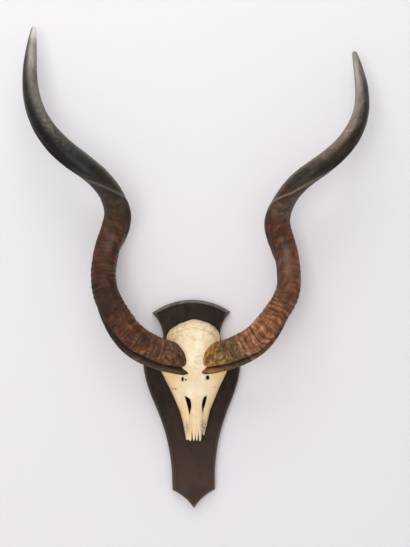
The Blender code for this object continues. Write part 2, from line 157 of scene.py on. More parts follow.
# The brain case's rounded top: height, half width, and how far its middle lies from SKULL_X in millimetres
DOME_STATIONS = (
    (0.1135, 0.0, 1.8), (0.1132, 0.0045, 1.8), (0.1121, 0.0100, 1.8), (0.1097, 0.0178, 1.9),
    (0.1072, 0.0254, 1.9), (0.1047, 0.0327, 1.7), (0.1023, 0.0388, 1.4), (0.0998, 0.0425, 1.4),
    (0.0973, 0.0463, 1.3), (0.0948, 0.0503, 1.1), (0.0924, 0.0540, 0.3), (0.0899, 0.0566, -0.7),
    (0.0875, 0.0589, -1.2), (0.0850, 0.0606, -1.2), (0.0800, 0.0634, -1.2), (0.0750, 0.0653, -1.8),
    (0.0700, 0.0665, -2.0), (0.0600, 0.0665, -1.0), (0.0450, 0.0650, 0.0), (-0.1900, 0.0650, 0.0),
)
DOME_FOOT = 0.062
DOME_WIDEST = 0.0665
# Below the dome: height, half width, and how far the face stands out
SKULL_STATIONS = (
    (0.100, 0.0665, 0.064), (0.070, 0.0665, 0.063), (0.045, 0.064, 0.071), (0.020, 0.067, 0.074),
    (0.002, 0.080, 0.073), (-0.014, 0.084, 0.071), (-0.033, 0.074, 0.066), (-0.055, 0.063, 0.060),
    (-0.085, 0.050, 0.052), (-0.114, 0.038, 0.044), (-0.142, 0.031, 0.036), (-0.168, 0.026, 0.030),
    (-0.188, 0.0235, 0.025),
)
SKULL_FOOT = SKULL_STATIONS[-1][0]
SKULL_ROWS = 310
SKULL_COLUMNS = 138
NOSE_COMB = -0.150  # below this height the rows bend to follow the prongs
# Prongs from left to right: middle, tip height; and the gaps between them: middle, top height
PRONG_TIPS = ((-0.0154, -0.1868), (-0.0057, -0.1880), (0.0025, -0.1880), (0.0099, -0.1876),
              (0.0173, -0.1893), (0.0286, -0.1752))
PRONG_GAPS = ((-0.0109, -0.1835), (-0.0015, -0.1660), (0.0064, -0.1705), (0.0142, -0.1635), (0.0230, -0.1680))
# The two slits beside the nose, as outlines of (x, z) points
SLIT_LEFT = ((-0.0186, -0.0727), (-0.0120, -0.0753), (-0.0047, -0.0808), (-0.0024, -0.0914),
             (-0.0025, -0.1019), (-0.0051, -0.1125), (-0.0071, -0.1225), (-0.0095, -0.1082),
             (-0.0123, -0.0954), (-0.0158, -0.0836))
SLIT_RIGHT = ((0.0355, -0.0722), (0.0293, -0.0765), (0.0262, -0.0834), (0.0239, -0.0959), (0.0244, -0.1087),
              (0.0259, -0.1228), (0.0279, -0.1068), (0.0315, -0.0960), (0.0351, -0.0843), (0.0361, -0.0771))
# Seams between the skull's bones, as lines of (x, z) points
CROWN_SEAM = ((-0.040, 0.0800), (-0.031, 0.0860), (-0.0175, 0.0909), (-0.0101, 0.0918),
              (-0.0013, 0.0907), (0.0079, 0.0960), (0.0149, 0.0924), (0.0218, 0.0897),
              (0.0292, 0.0895), (0.0400, 0.0850), (0.050, 0.078))
TEMPLE_LEFT = ((-0.0352, 0.0940), (-0.0336, 0.0806), (-0.0410, 0.0664), (-0.050, 0.052))
TEMPLE_RIGHT = ((0.0472, 0.0954), (0.0488, 0.0866), (0.0557, 0.0739), (0.062, 0.060))
NOSE_SEAM = ((0.0085, -0.0650), (0.0100, -0.0720), (0.0098, -0.1200), (0.0092, -0.1880))
NOSE_SEAM_LEFT = ((-0.0069, -0.1180), (-0.0075, -0.1400), (-0.0066, -0.1720))
NOSE_SEAM_RIGHT = ((0.0260, -0.1190), (0.0250, -0.1400), (0.0236, -0.1720))
BROW_LEFT = ((-0.0020, -0.0760), (0.0040, -0.0640), (0.0085, -0.0610))
BROW_RIGHT = ((0.0210, -0.0760), (0.0160, -0.0650), (0.0085, -0.0610))
NICK_LEFT = ((-0.0500, -0.0560), (-0.0450, -0.0552), (-0.0390, -0.0556))
NICK_RIGHT = ((0.0520, -0.0526), (0.0590, -0.0512))
# Small holes under the horns: x, z, half width, half height and depth in millimetres
FORAMINA = ((-0.0224, -0.0301, 2.2, 4.2, 12.0), (-0.0143, -0.0319, 1.6, 1.9, 6.0),
            (0.0390, -0.0273, 3.2, 4.3, 12.0), (0.0329, -0.0326, 1.2, 1.6, 2.0))
# Swellings and hollows of the face, the same on both sides of a line: rise in millimetres, height,
# spread, the line's x, how far out from it, spread, and how much further out for each step up
SWELLINGS = (
    (2.2, 0.004, 0.020, SKULL_X, 0.062, 0.016, 0.0),  # above the eye sockets
    (-2.4, -0.052, 0.022, NOSE_X, 0.030, 0.012, 0.0),  # between cheek and nose
    (1.8, -0.030, 0.030, SKULL_X, 0.060, 0.008, 0.25),  # the cheek's ridge
    (-1.0, 0.025, 0.030, NOSE_X, 0.0, 0.016, 0.0),  # the middle of the forehead
    (-2.0, 0.050, 0.016, SKULL_X, 0.060, 0.014, 0.0),  # the temples, behind the horns
)
ORBIT_Z = -0.014
ORBIT_RADIUS = 23 * MM
ORBIT_DEPTH = 15 * MM

# Fittings
ROOM = 0.3 * MM  # round the plate and the screws
SHANK_SHARE = 0.48  # a screw's shank against its head
SCREW_STEPS = 48
THREAD_RINGS = 90
SCREWS = ("hanger_screw_left", "hanger_screw_right", "skull_screw_upper", "skull_screw_lower")


# ---------------------------------------------------------------- formulas

def spline(points, shares):
    """A natural cubic spline through the points, read at shares of its length."""
    points = np.array(points)
    knots = np.concatenate(([0.0], np.cumsum(np.linalg.norm(np.diff(points, axis=0), axis=1))))
    gaps = np.diff(knots)
    count = len(points)
    system = np.eye(count)
    bend = np.zeros_like(points)
    for i in range(1, count - 1):
        system[i, i - 1: i + 2] = gaps[i - 1], 2 * (gaps[i - 1] + gaps[i]), gaps[i]
        slopes = (points[i + 1] - points[i]) / gaps[i] - (points[i] - points[i - 1]) / gaps[i - 1]
        bend[i] = 6 * slopes
    bend = np.linalg.solve(system, bend)

    def read(at):
        """The curve's points at distances along its chords."""
        i = np.clip(np.searchsorted(knots, at, side="right") - 1, 0, count - 2)
        h = gaps[i][:, None]
        a = (knots[i + 1] - at)[:, None] / h
        b = 1 - a
        curve = ((a**3 - a) * bend[i] + (b**3 - b) * bend[i + 1]) * h**2 / 6
        return a * points[i] + b * points[i + 1] + curve

    fine = np.linspace(0, knots[-1], 2000)
    run = np.concatenate(([0.0], np.cumsum(np.linalg.norm(np.diff(read(fine), axis=0), axis=1))))
    return read(np.interp(np.asarray(shares) * run[-1], run, fine)), run[-1]


def eased(table, at, blur=0.03):
    """Reads a table of (place, value) rows, with its corners rounded by a sliding average."""
    rows = np.array(sorted(map(tuple, table)))
    span = rows[-1, 0] - rows[0, 0]
    fine = np.linspace(rows[0, 0] - blur * span, rows[-1, 0] + blur * span, 1201)
    values = np.interp(fine, rows[:, 0], rows[:, 1])
    window = np.hanning(int(1201 * blur) | 1)
    padded = np.pad(values, len(window) // 2, mode="edge")
    return np.interp(at, fine, np.convolve(padded, window / window.sum(), mode="valid"))


def bell(distance, width):
    """One at zero distance, falling off as a bell curve."""
    return np.exp(-(distance / width) ** 2)


def ramp(value, low, high):
    """A smooth step from 0 at low to 1 at high."""
    t = np.clip((value - low) / (high - low), 0, 1)
    return t * t * (3 - 2 * t)


def cell_value(cell, seed):
    """A repeatable number from 0 to 1 for each whole-number cell."""
    x, y, z = (cell[..., k].astype(np.int64) for k in range(3))
    mixed = (x * 73856093 ^ y * 19349663 ^ z * 83492791 ^ seed * 2654435761) & 0xFFFFFFFF
    mixed = ((mixed ^ (mixed >> 13)) * 1274126177) & 0xFFFFFFFF
    return ((mixed ^ (mixed >> 16)) & 0xFFFF) / 65535.0


def lumps(points, size, seed=0, octaves=1):
    """Soft noise from -1 to 1 with lumps of the given size: the eight random corner values of each
    cell blended by smooth steps, with finer and weaker copies added for each further octave."""
    total, weight = 0.0, 0.0
    for octave in range(octaves):
        at = np.asarray(points) / (np.asarray(size) / 2**octave) + 17.3 * octave
        cell = np.floor(at)
        part = at - cell
        part = part * part * (3 - 2 * part)
        value = 0.0
        for corner in itertools.product((0, 1), repeat=3):
            share = np.prod(np.where(corner, part, 1 - part), axis=-1)
            value = value + share * cell_value(cell + corner, seed + octave)
        total = total + (2 * value - 1) * 0.55**octave
        weight += 0.55**octave
    return total / weight


def arc(start, end, bow, steps):
    """Points of the circular arc from start towards end, bowing to the left by `bow`."""
    start, end = np.array(start), np.array(end)
    chord = end - start
    half = np.linalg.norm(chord) / 2
    across = np.array((-chord[1], chord[0])) / (2 * half)
    radius = (half**2 + bow**2) / (2 * bow)
    centre = (start + end) / 2 + across * (bow - radius)
    first = np.arctan2(*(start - centre)[::-1])
    swing = np.arctan2(*(end - centre)[::-1]) - first
    swing = (swing + math.pi) % (2 * math.pi) - math.pi
    turn = first + swing * np.arange(steps) / steps
    return centre + abs(radius) * np.column_stack((np.cos(turn), np.sin(turn)))


def s_curve(start, pull, push, end, steps):
    """Points of a cubic Bezier curve, without its end."""
    t = np.arange(steps)[:, None] / steps
    ends = (1 - t) ** 3 * np.array(start) + t**3 * np.array(end)
    return ends + 3 * (1 - t) ** 2 * t * np.array(pull) + 3 * (1 - t) * t**2 * np.array(push)


def distance_to(x, z, path, closed=False):
    """Distance from points to a line through the given corners."""
    corners = np.array(path)
    nearest = np.full(np.shape(x), np.inf)
    after = np.roll(corners, -1, axis=0)
    count = len(corners) if closed else len(corners) - 1
    for (ax, az), (bx, bz) in zip(corners[:count], after[:count]):
        ex, ez = bx - ax, bz - az
        t = np.clip(((x - ax) * ex + (z - az) * ez) / (ex * ex + ez * ez), 0, 1)
        nearest = np.minimum(nearest, np.hypot(x - ax - t * ex, z - az - t * ez))
    return nearest


def distance_inside(x, z, outline):
    """Signed distance from points to a closed outline: positive inside it, negative outside."""
    inside = np.zeros(np.shape(x), dtype=bool)
    corners = np.array(outline)
    for (ax, az), (bx, bz) in zip(corners, np.roll(corners, -1, axis=0)):
        crosses = (z > az) != (z > bz)
        inside ^= crosses & (x < ax + (z - az) / (bz - az + 1e-12) * (bx - ax))
    nearest = distance_to(x, z, outline, closed=True)
    return np.where(inside, nearest, -nearest)


# ---------------------------------------------------------------- meshes

def grid_faces(rows, columns, around=False):
    """Corner numbers of the four-sided faces between neighbouring rows and columns."""
    row = np.arange(rows - 1)[:, None] * columns
    column = np.arange(columns if around else columns - 1)
    after = (column + 1) % columns
    return np.stack((row + column, row + after, row + columns + after, row + columns + column),
                    axis=-1).reshape(-1, 4)


def add_piece(name, points, faces, fields=None, caps=(), sharp=None):
    """Makes a mesh object at the origin from points, four-sided faces and flat caps.

    Fields are numbers or vectors kept on each point. Points that coincide are merged, and faces
    are turned to look outwards.
    """
    points = np.asarray(points, dtype=float).reshape(-1, 3)
    mesh = bpy.data.meshes.new(name)
    mesh.vertices.add(len(points))
    mesh.vertices.foreach_set("co", points.ravel())
    mesh.loops.add(faces.size)
    mesh.loops.foreach_set("vertex_index", faces.ravel())
    mesh.polygons.add(len(faces))
    mesh.polygons.foreach_set("loop_start", np.arange(len(faces)) * 4)
    mesh.update(calc_edges=True)
    for label, values in (fields or {}).items():
        values = np.asarray(values, dtype=float)
        if values.size == 3 * len(points):
            mesh.attributes.new(label, "FLOAT_VECTOR", "POINT").data.foreach_set("vector", values.ravel())
        else:
            mesh.attributes.new(label, "FLOAT", "POINT").data.foreach_set("value", values.ravel())
    shape = bmesh.new()
    shape.from_mesh(mesh)
    shape.verts.ensure_lookup_table()
    for cap in caps:
        shape.faces.new([shape.verts[i] for i in cap])
    bmesh.ops.remove_doubles(shape, verts=shape.verts, dist=WELD)
    loose = [vert for vert in shape.verts if not vert.link_faces]
    bmesh.ops.delete(shape, geom=loose, context="VERTS")
    bmesh.ops.recalc_face_normals(shape, faces=shape.faces)
    shape.to_mesh(mesh)
    shape.free()
    mesh.polygons.foreach_set("use_smooth", np.ones(len(mesh.polygons), dtype=bool))
    if sharp is not None:
        mesh.set_sharp_from_angle(angle=math.radians(sharp))
    piece = bpy.data.objects.new(name, mesh)
    bpy.context.scene.collection.objects.link(piece)
    return piece


def stands_for(piece, node, material):
    """Fixes a new piece to the wall-hung body in place of its solid."""
    piece.data.materials.clear()
    piece.data.materials.append(material)
    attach(piece, "root")
    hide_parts(node)


# ---------------------------------------------------------------- materials

def shade(red, green, blue):
    """A colour given as it looks on a screen, 0 to 255, as the linear light a shader works in."""
    parts = np.array((red, green, blue)) / 255
    linear = np.where(parts <= 0.04045, parts / 12.92, ((parts + 0.055) / 1.055) ** 2.4)
    return (*linear, 1.0)


class Finish:
    """A Principled material being put together. Each method adds its nodes and gives their output."""

    def __init__(self, name, roughness, metallic=0.0, specular=0.5):
        self.material = bpy.data.materials.new(name)
        self.material.use_nodes = True
        self.tree = self.material.node_tree
        self.shader = self.tree.nodes["Principled BSDF"]
        self.shader.inputs["Roughness"].default_value = roughness
        self.shader.inputs["Metallic"].default_value = metallic
        self.shader.inputs["Specular IOR Level"].default_value = specular

    def node(self, kind, **values):
        """A node with its settings."""
        made = self.tree.nodes.new(kind)
        for key, value in values.items():
            setattr(made, key, value)
        return made

    def put(self, socket, value):
        """Feeds a socket from another node's output, or sets it to a constant."""
        if isinstance(value, bpy.types.NodeSocket):
            self.tree.links.new(value, socket)
        else:
            socket.default_value = value

    def filled(self, kind, values, **settings):
        """A node whose named sockets are fed or set."""
        made = self.node(kind, **settings)
        for label, value in values.items():
            self.put(made.inputs[label], value)
        return made

    def field(self, name, kind="Fac"):
        """A number, or with kind Vector a place, kept on each point of the piece."""
        return self.node("ShaderNodeAttribute", attribute_name=name).outputs[kind]

    def place(self):
        """Where a point lies on the piece, in metres."""
        return self.node("ShaderNodeTexCoord").outputs["Object"]

    def stretched(self, vector, scale):
        """A place with each axis scaled: a small number draws a pattern out along that axis."""
        return self.filled("ShaderNodeMapping", {"Vector": vector, "Scale": scale}).outputs["Vector"]

    def noise(self, vector, scale, detail, roughness, distortion=0.0):
        """Fractal noise from 0 to 1."""
        values = {"Vector": vector, "Scale": scale, "Detail": detail, "Roughness": roughness,
                  "Distortion": distortion}
        return self.filled("ShaderNodeTexNoise", values).outputs["Fac"]

    def warped(self, vector, scale, amount):
        """The place pushed about by noise, so that what is drawn there wanders."""
        push = self.filled("ShaderNodeTexNoise", {"Vector": vector, "Scale": scale})
        values = {0: push.outputs["Color"], "Scale": amount}
        shift = self.filled("ShaderNodeVectorMath", values, operation="SCALE")
        total = self.filled("ShaderNodeVectorMath", {0: vector, 1: shift.outputs[0]}, operation="ADD")
        return total.outputs[0]

    def cracks(self, vector, scale):
        """Distance to the borders of random cells, 0 along each crack."""
        values = {"Vector": vector, "Scale": scale}
        return self.filled("ShaderNodeTexVoronoi", values, feature="DISTANCE_TO_EDGE").outputs["Distance"]

    def colours(self, factor, stops):
        """A colour ramp of (place, colour) stops."""
        made = self.filled("ShaderNodeValToRGB", {"Fac": factor})
        marks = made.color_ramp.elements
        while len(marks) < len(stops):
            marks.new(0.5)
        for mark, (place, colour) in zip(marks, stops):
            mark.position = place
            mark.color = shade(*colour)
        return made.outputs["Color"]

    def span(self, value, low, high, new_low=0.0, new_high=1.0):
        """The value's stretch from low to high, carried to the new stretch and held at its ends."""
        values = {"From Min": low, "From Max": high, "To Min": new_low, "To Max": new_high, "Value": value}
        return self.filled("ShaderNodeMapRange", values, clamp=True).outputs["Result"]

    def maths(self, operation, first, *others):
        """One operation carried through the values from left to right."""
        for other in others:
            first = self.filled("ShaderNodeMath", {0: first, 1: other}, operation=operation).outputs[0]
        return first

    def times(self, *values):
        """The product of the values."""
        return self.maths("MULTIPLY", *values)

    def plus(self, *values):
        """The sum of the values."""
        return self.maths("ADD", *values)

    def minus(self, first, second):
        """The first value less the second."""
        return self.maths("SUBTRACT", first, second)

    def mix(self, factor, first, second):
        """A blend of two colours."""
        return self.filled("ShaderNodeMix", {0: factor, 6: first, 7: second}, data_type="RGBA").outputs[2]

    def laid(self, under, over, *weights):
        """The colour `over` laid on the one under it, as strongly as the product of the weights."""
        return self.mix(self.times(*weights), under, shade(*over))

    def bump(self, height, depth, strength=1.0, under=None):
        """A fine relief of the given depth, on top of another."""
        values = {"Strength": strength, "Distance": depth, "Height": height}
        if under is not None:
            values["Normal"] = under
        return self.filled("ShaderNodeBump", values).outputs["Normal"]

    def done(self, colour, roughness, normal):
        """The finished material."""
        self.put(self.shader.inputs["Base Color"], colour)
        self.put(self.shader.inputs["Roughness"], roughness)
        self.put(self.shader.inputs["Normal"], normal)
        return self.material


# Horn colours, as share of its length: in the hollows, on the body, and on the heights; relief picks among
# them partly, as painted shade in the hollows and painted light on the heights
LEFT_COLOURS = (
    (0.0, (39, 24, 14), (101, 64, 35), (190, 117, 59)),
    (0.05, (36, 26, 17), (112, 78, 51), (200, 140, 88)),
    (0.12, (38, 20, 9), (108, 60, 31), (192, 113, 60)),
    (0.22, (19, 8, 3), (50, 25, 11), (88, 44, 21)),
    (0.34, (40, 16, 7), (83, 39, 18), (130, 67, 34)),
    (0.42, (34, 20, 11), (84, 51, 30), (130, 83, 52)),
    (0.47, (30, 20, 12), (62, 45, 30), (97, 72, 51)),
    (0.56, (24, 20, 17), (45, 39, 34), (74, 65, 56)),
    (0.7, (8, 7, 6), (19, 17, 14), (37, 35, 30)),
    (0.8, (22, 20, 18), (66, 60, 55), (104, 97, 90)),
    (0.88, (42, 38, 35), (91, 85, 80), (135, 127, 122)),
    (0.95, (86, 81, 77), (137, 130, 124), (184, 177, 171)),
    (0.975, None, (206, 198, 192), None),
    (1.0, (190, 182, 176), (232, 226, 222), (242, 238, 234)),
)
RIGHT_COLOURS = (
    (0.0, (87, 52, 24), (228, 146, 69), (250, 245, 135)),
    (0.04, (43, 27, 13), (154, 103, 52), (250, 223, 120)),
    (0.08, (39, 29, 19), (115, 87, 59), (214, 174, 120)),
    (0.14, (55, 31, 17), (174, 110, 70), (255, 180, 115)),
    (0.25, (41, 20, 10), (104, 61, 36), (168, 107, 64)),
    (0.36, (45, 23, 12), (110, 66, 43), (172, 110, 70)),
    (0.44, (34, 19, 10), (82, 46, 29), (127, 78, 49)),
    (0.475, (37, 21, 11), (88, 50, 30), (174, 107, 57)),
    (0.49, (44, 32, 24), (87, 64, 49), (144, 111, 88)),
    (0.6, (31, 23, 16), (66, 50, 38), (123, 98, 76)),
    (0.74, (45, 34, 24), (113, 87, 69), (190, 156, 130)),
    (0.88, (46, 42, 39), (91, 83, 77), (135, 126, 119)),
    (1.0, (90, 81, 76), (139, 128, 121), (188, 177, 168)),
)


def keratin(name, rows, foot, vein, line):
    """Horn. Colour runs along its length on three ramps, for hollows, body and heights; which one
    shows is the sum of relief (painted shade in the hollows, painted light on the heights), broad
    and fine mottling, fibres and, on the lower half, rings. Laid over that are the foot's crust,
    painted shade in the rings' creases, on the flanks, beside the keel and in the groove, dark blots,
    painted highlights on the ridges, along the keel's crest and in pale bands, the keel's grey and chips."""
    horn = Finish(name, roughness=0.5, specular=0.24)
    share = horn.field("share")
    straight = horn.field("straight", "Vector")
    squashed = horn.stretched(straight, (1.0, 1.0, 0.9))
    broad = horn.noise(squashed, 34.0, 4.0, 0.62, 0.8)
    mottle = horn.noise(squashed, 110.0, 5.0, 0.68, 0.6)
    fibre = horn.noise(horn.stretched(straight, (1.0, 1.0, 0.06)), 620.0, 3.0, 0.6)
    hoops = horn.noise(horn.stretched(straight, (0.10, 0.10, 1.0)), 230.0, 4.0, 0.70, 0.3)
    belts = horn.noise(horn.stretched(straight, (0.15, 0.15, 1.0)), 85.0, 3.0, 0.6, 0.3)

    # which of the three ramps shows
    lower = horn.span(share, 0.40, 0.56, 1.0, 0.0)
    # the relief term is painted shade in the hollows and painted light on the heights
    tone = horn.times(horn.field("relief_shading"), 0.17)
    for part, weight in ((broad, 1.7), (mottle, 0.50), (fibre, 0.30)):
        tone = horn.plus(tone, horn.times(horn.minus(part, 0.5), weight))
    ringed = horn.times(horn.span(share, 0.015, 0.075, 0.15, 1.0), horn.span(share, 0.17, 0.27, 1.0, 0.55))
    ringed = horn.times(ringed, horn.plus(horn.times(lower, 0.9), 0.10))
    rings = horn.plus(horn.times(hoops, 0.85), horn.times(belts, 0.90))
    tone = horn.plus(tone, horn.times(horn.minus(rings, 0.875), ringed), 0.44)
    hollows, body, heights = (horn.colours(share, [(row[0], row[kind]) for row in rows if row[kind]])
                              for kind in (1, 2, 3))
    colour = horn.mix(horn.span(tone, 0.05, 0.5), hollows, body)
    colour = horn.mix(horn.span(tone, 0.5, 1.0), colour, heights)

    # the lower part: dark blots, a dull cast, and the foot's crust with its veins and specks
    blotch = horn.span(horn.noise(squashed, 36.0, 5.0, 0.62, 0.8), 0.53, 0.62)
    colour = horn.laid(colour, foot, blotch, horn.span(share, 0.03, 0.30, 1.0, 0.0), 0.85)
    dull = horn.span(horn.noise(straight, 24.0, 3.0, 0.5, 0.4), 0.50, 0.64, 0.0, 0.34)
    colour = horn.laid(colour, (64, 56, 44), dull, horn.times(lower, horn.span(share, 0.05, 0.09)))
    crust = horn.span(share, 0.015, 0.055, 1.0, 0.0)
    veins = horn.span(horn.cracks(horn.warped(straight, 110.0, 0.016), 85.0), 0.0, 0.10, 1.0, 0.0)
    colour = horn.laid(colour, vein, veins, crust, 0.45)
    specks = horn.span(horn.noise(straight, 170.0, 4.0, 0.7), 0.55, 0.63)
    colour = horn.laid(colour, (40, 25, 15), specks, crust, 0.62)

    # painted shade in the rings' creases and painted highlights on their ridges, then painted shade and dark
    # blots on the flanks, chips, and pale painted highlight bands
    colour = horn.laid(colour, (30, 18, 12), horn.field("crease_shade"), 0.50)
    colour = horn.laid(colour, (190, 146, 112), horn.field("glint"), 0.34)
    # painted shade and dark blots on the flanks
    colour = horn.laid(colour, (22, 17, 14), horn.field("shade_and_blot"), horn.span(mottle, 0.2, 0.6, 1.0, 0.75))
    worn = horn.field("worn")
    colour = horn.laid(colour, (140, 126, 110), worn, horn.span(mottle, 0.38, 0.56, 0.15, 0.85))
    # pale painted highlight bands, broken by the fibres
    painted_highlight = horn.times(horn.field("painted_highlight"), horn.span(fibre, 0.2, 0.7, 0.5, 1.0))
    colour = horn.mix(painted_highlight, colour, horn.colours(share, ((0.70, (146, 132, 120)), (0.88, (178, 168, 160)))))

    # painted shade, near black, on the keel's side higher up; a painted highlight along its crest; the keel's
    # grey; and painted shade in the groove
    crest = horn.field("crest")
    # painted shade, near black, on the keel's side of the horn
    under = horn.times(horn.field("under"), horn.span(share, 0.50, 0.64))
    colour = horn.laid(colour, (13, 11, 9), under, horn.span(share, 0.82, 0.99, 0.88, 0.20))
    # a painted highlight along the keel's crest, in the colour given as line
    sharp = horn.maths("POWER", horn.times(crest, horn.span(share, 0.42, 0.50)), 9.0)
    colour = horn.laid(colour, line, sharp, horn.span(share, 0.58, 0.68, 1.0, 0.0), 0.65)
    keel = horn.times(crest, horn.span(share, 0.10, 0.24, 1.0, 0.0))
    colour = horn.laid(colour, (72, 62, 55), keel, horn.span(mottle, 0.35, 0.60, 0.35, 0.8))
    # painted shade, near black, in the groove
    colour = horn.laid(colour, (12, 7, 5), horn.field("groove"))

    rough = horn.plus(horn.times(lower, 0.30), horn.times(mottle, 0.25))
    skin = horn.bump(horn.times(hoops, ringed), 2.2 * MM)
    skin = horn.bump(fibre, 0.35 * MM, 0.7, skin)
    skin = horn.bump(horn.times(horn.minus(veins, specks), crust), 1.6 * MM, 1.0, skin)
    skin = horn.bump(horn.times(horn.noise(straight, 300.0, 5.0, 0.7), worn), 3.2 * MM, 1.0, skin)
    return horn.done(colour, horn.span(rough, 0.0, 0.5, 0.30, 0.66), skin)


def bone():
    """Ivory bone: soft mottling, warm cheeks, brown stains at the nose, grey-brown blots and pores, brown
    painted shade where the sides turn away, and near-black painted shade in the holes, slits and nicks.
    """
    made = Finish("dry_bone", roughness=0.6, specular=0.35)
    place = made.place()
    soft = made.noise(place, 26.0, 5.0, 0.55, 0.5)
    fine = made.noise(place, 190.0, 5.0, 0.65)
    blots = made.span(made.noise(place, 60.0, 6.0, 0.7, 0.6), 0.45, 0.62)
    pores = made.span(made.noise(place, 420.0, 2.0, 0.5), 0.66, 0.74)
    colour = made.mix(made.span(soft, 0.35, 0.65), shade(240, 214, 168), shade(253, 237, 205))
    colour = made.laid(colour, (252, 210, 138), made.field("warm"), made.span(soft, 0.30, 0.62, 0.35, 1.0))
    colour = made.laid(colour, (168, 152, 118), made.field("grey"), blots, 0.7)
    # brown stains, and brown painted shade where the sides turn away
    colour = made.laid(colour, (150, 98, 52), made.field("stain_and_shade"), made.span(fine, 0.30, 0.62))
    colour = made.laid(colour, (122, 88, 52), made.field("seam"))
    colour = made.laid(colour, (170, 138, 92), pores, 0.35)
    # painted shade, near black, in the holes, slits and nicks
    colour = made.laid(colour, (14, 9, 6), made.field("hole_shade"))
    grain = made.noise(made.stretched(place, (1.0, 1.0, 0.2)), 500.0, 3.0, 0.6)
    skin = made.bump(grain, 0.2 * MM, 0.5, made.bump(fine, 0.5 * MM, 0.45))
    return made.done(colour, made.span(fine, 0.2, 0.8, 0.48, 0.70), skin)


def stained_wood():
    """Very dark brown board: upright grain, fine pores, a cloudy tone that is lighter lower down, a
    light edge that is partly wear and partly painted highlight, and a barer back."""
    made = Finish("stained_wood", roughness=0.5, specular=0.14)
    place = made.place()
    axes = made.filled("ShaderNodeSeparateXYZ", {0: place}).outputs
    grain = made.noise(made.stretched(place, (1.0, 1.0, 0.05)), 75.0, 5.0, 0.6, 0.6)
    pores = made.noise(made.stretched(place, (1.0, 1.0, 0.025)), 640.0, 3.0, 0.6)
    cloud = made.noise(place, 30.0, 5.0, 0.6, 0.5)
    tone = made.span(made.plus(made.times(grain, 0.6), made.times(pores, 0.4)), 0.35, 0.65)
    colour = made.mix(tone, shade(22, 15, 11), shade(45, 32, 24))
    # lighter lower down
    low_down = made.span(axes["Z"], -0.10, -0.30)
    colour = made.laid(colour, (76, 59, 49), low_down, made.span(cloud, 0.35, 0.65, 0.55, 1.0))
    colour = made.laid(colour, (66, 46, 35), made.span(cloud, 0.48, 0.68, 0.0, 0.45))
    # a light edge: partly wear, partly painted highlight
    colour = made.laid(colour, (122, 110, 102), made.field("edge"), made.span(grain, 0.35, 0.6, 0.35, 0.85))
    back = made.span(axes["Y"], -0.7 * MM, -0.3 * MM)
    colour = made.mix(back, colour, made.mix(tone, shade(84, 60, 40), shade(128, 98, 68)))
    skin = made.bump(pores, 0.25 * MM, 0.6, made.bump(grain, 0.5 * MM, 0.35))
    return made.done(colour, made.span(pores, 0.3, 0.7, 0.42, 0.60), skin)


def steel(name, colour, roughness):
    """Zinc-plated steel: a faint cloud of grain, and light scratches along the sheet."""
    made = Finish(name, roughness=roughness, metallic=1.0)
    place = made.place()
    cloud = made.span(made.noise(place, 160.0, 4.0, 0.6, 0.3), 0.35, 0.65)
    lines = made.noise(made.stretched(place, (0.04, 1.0, 1.0)), 900.0, 2.0, 0.5)
    tint = made.mix(cloud, shade(*colour), shade(*(0.82 * part for part in colour)))
    rough = made.span(lines, 0.3, 0.7, roughness, roughness + 0.15)
    return made.done(tint, rough, made.bump(lines, 0.05 * MM, 0.4))


# ---------------------------------------------------------------- horns

def horn_frame(route, side, shares):
    """Middle line, its direction, and the two directions square to it: to the front and inwards."""
    middle, length = spline(route, shares)
    along = np.gradient(middle, axis=0)
    along /= np.linalg.norm(along, axis=1)[:, None]
    front = np.array((0.0, -1.0, 0.0)) + along * along[:, 1:2]
    front /= np.linalg.norm(front, axis=1)[:, None]
    return middle, length, along, front, np.cross(front, along) * side


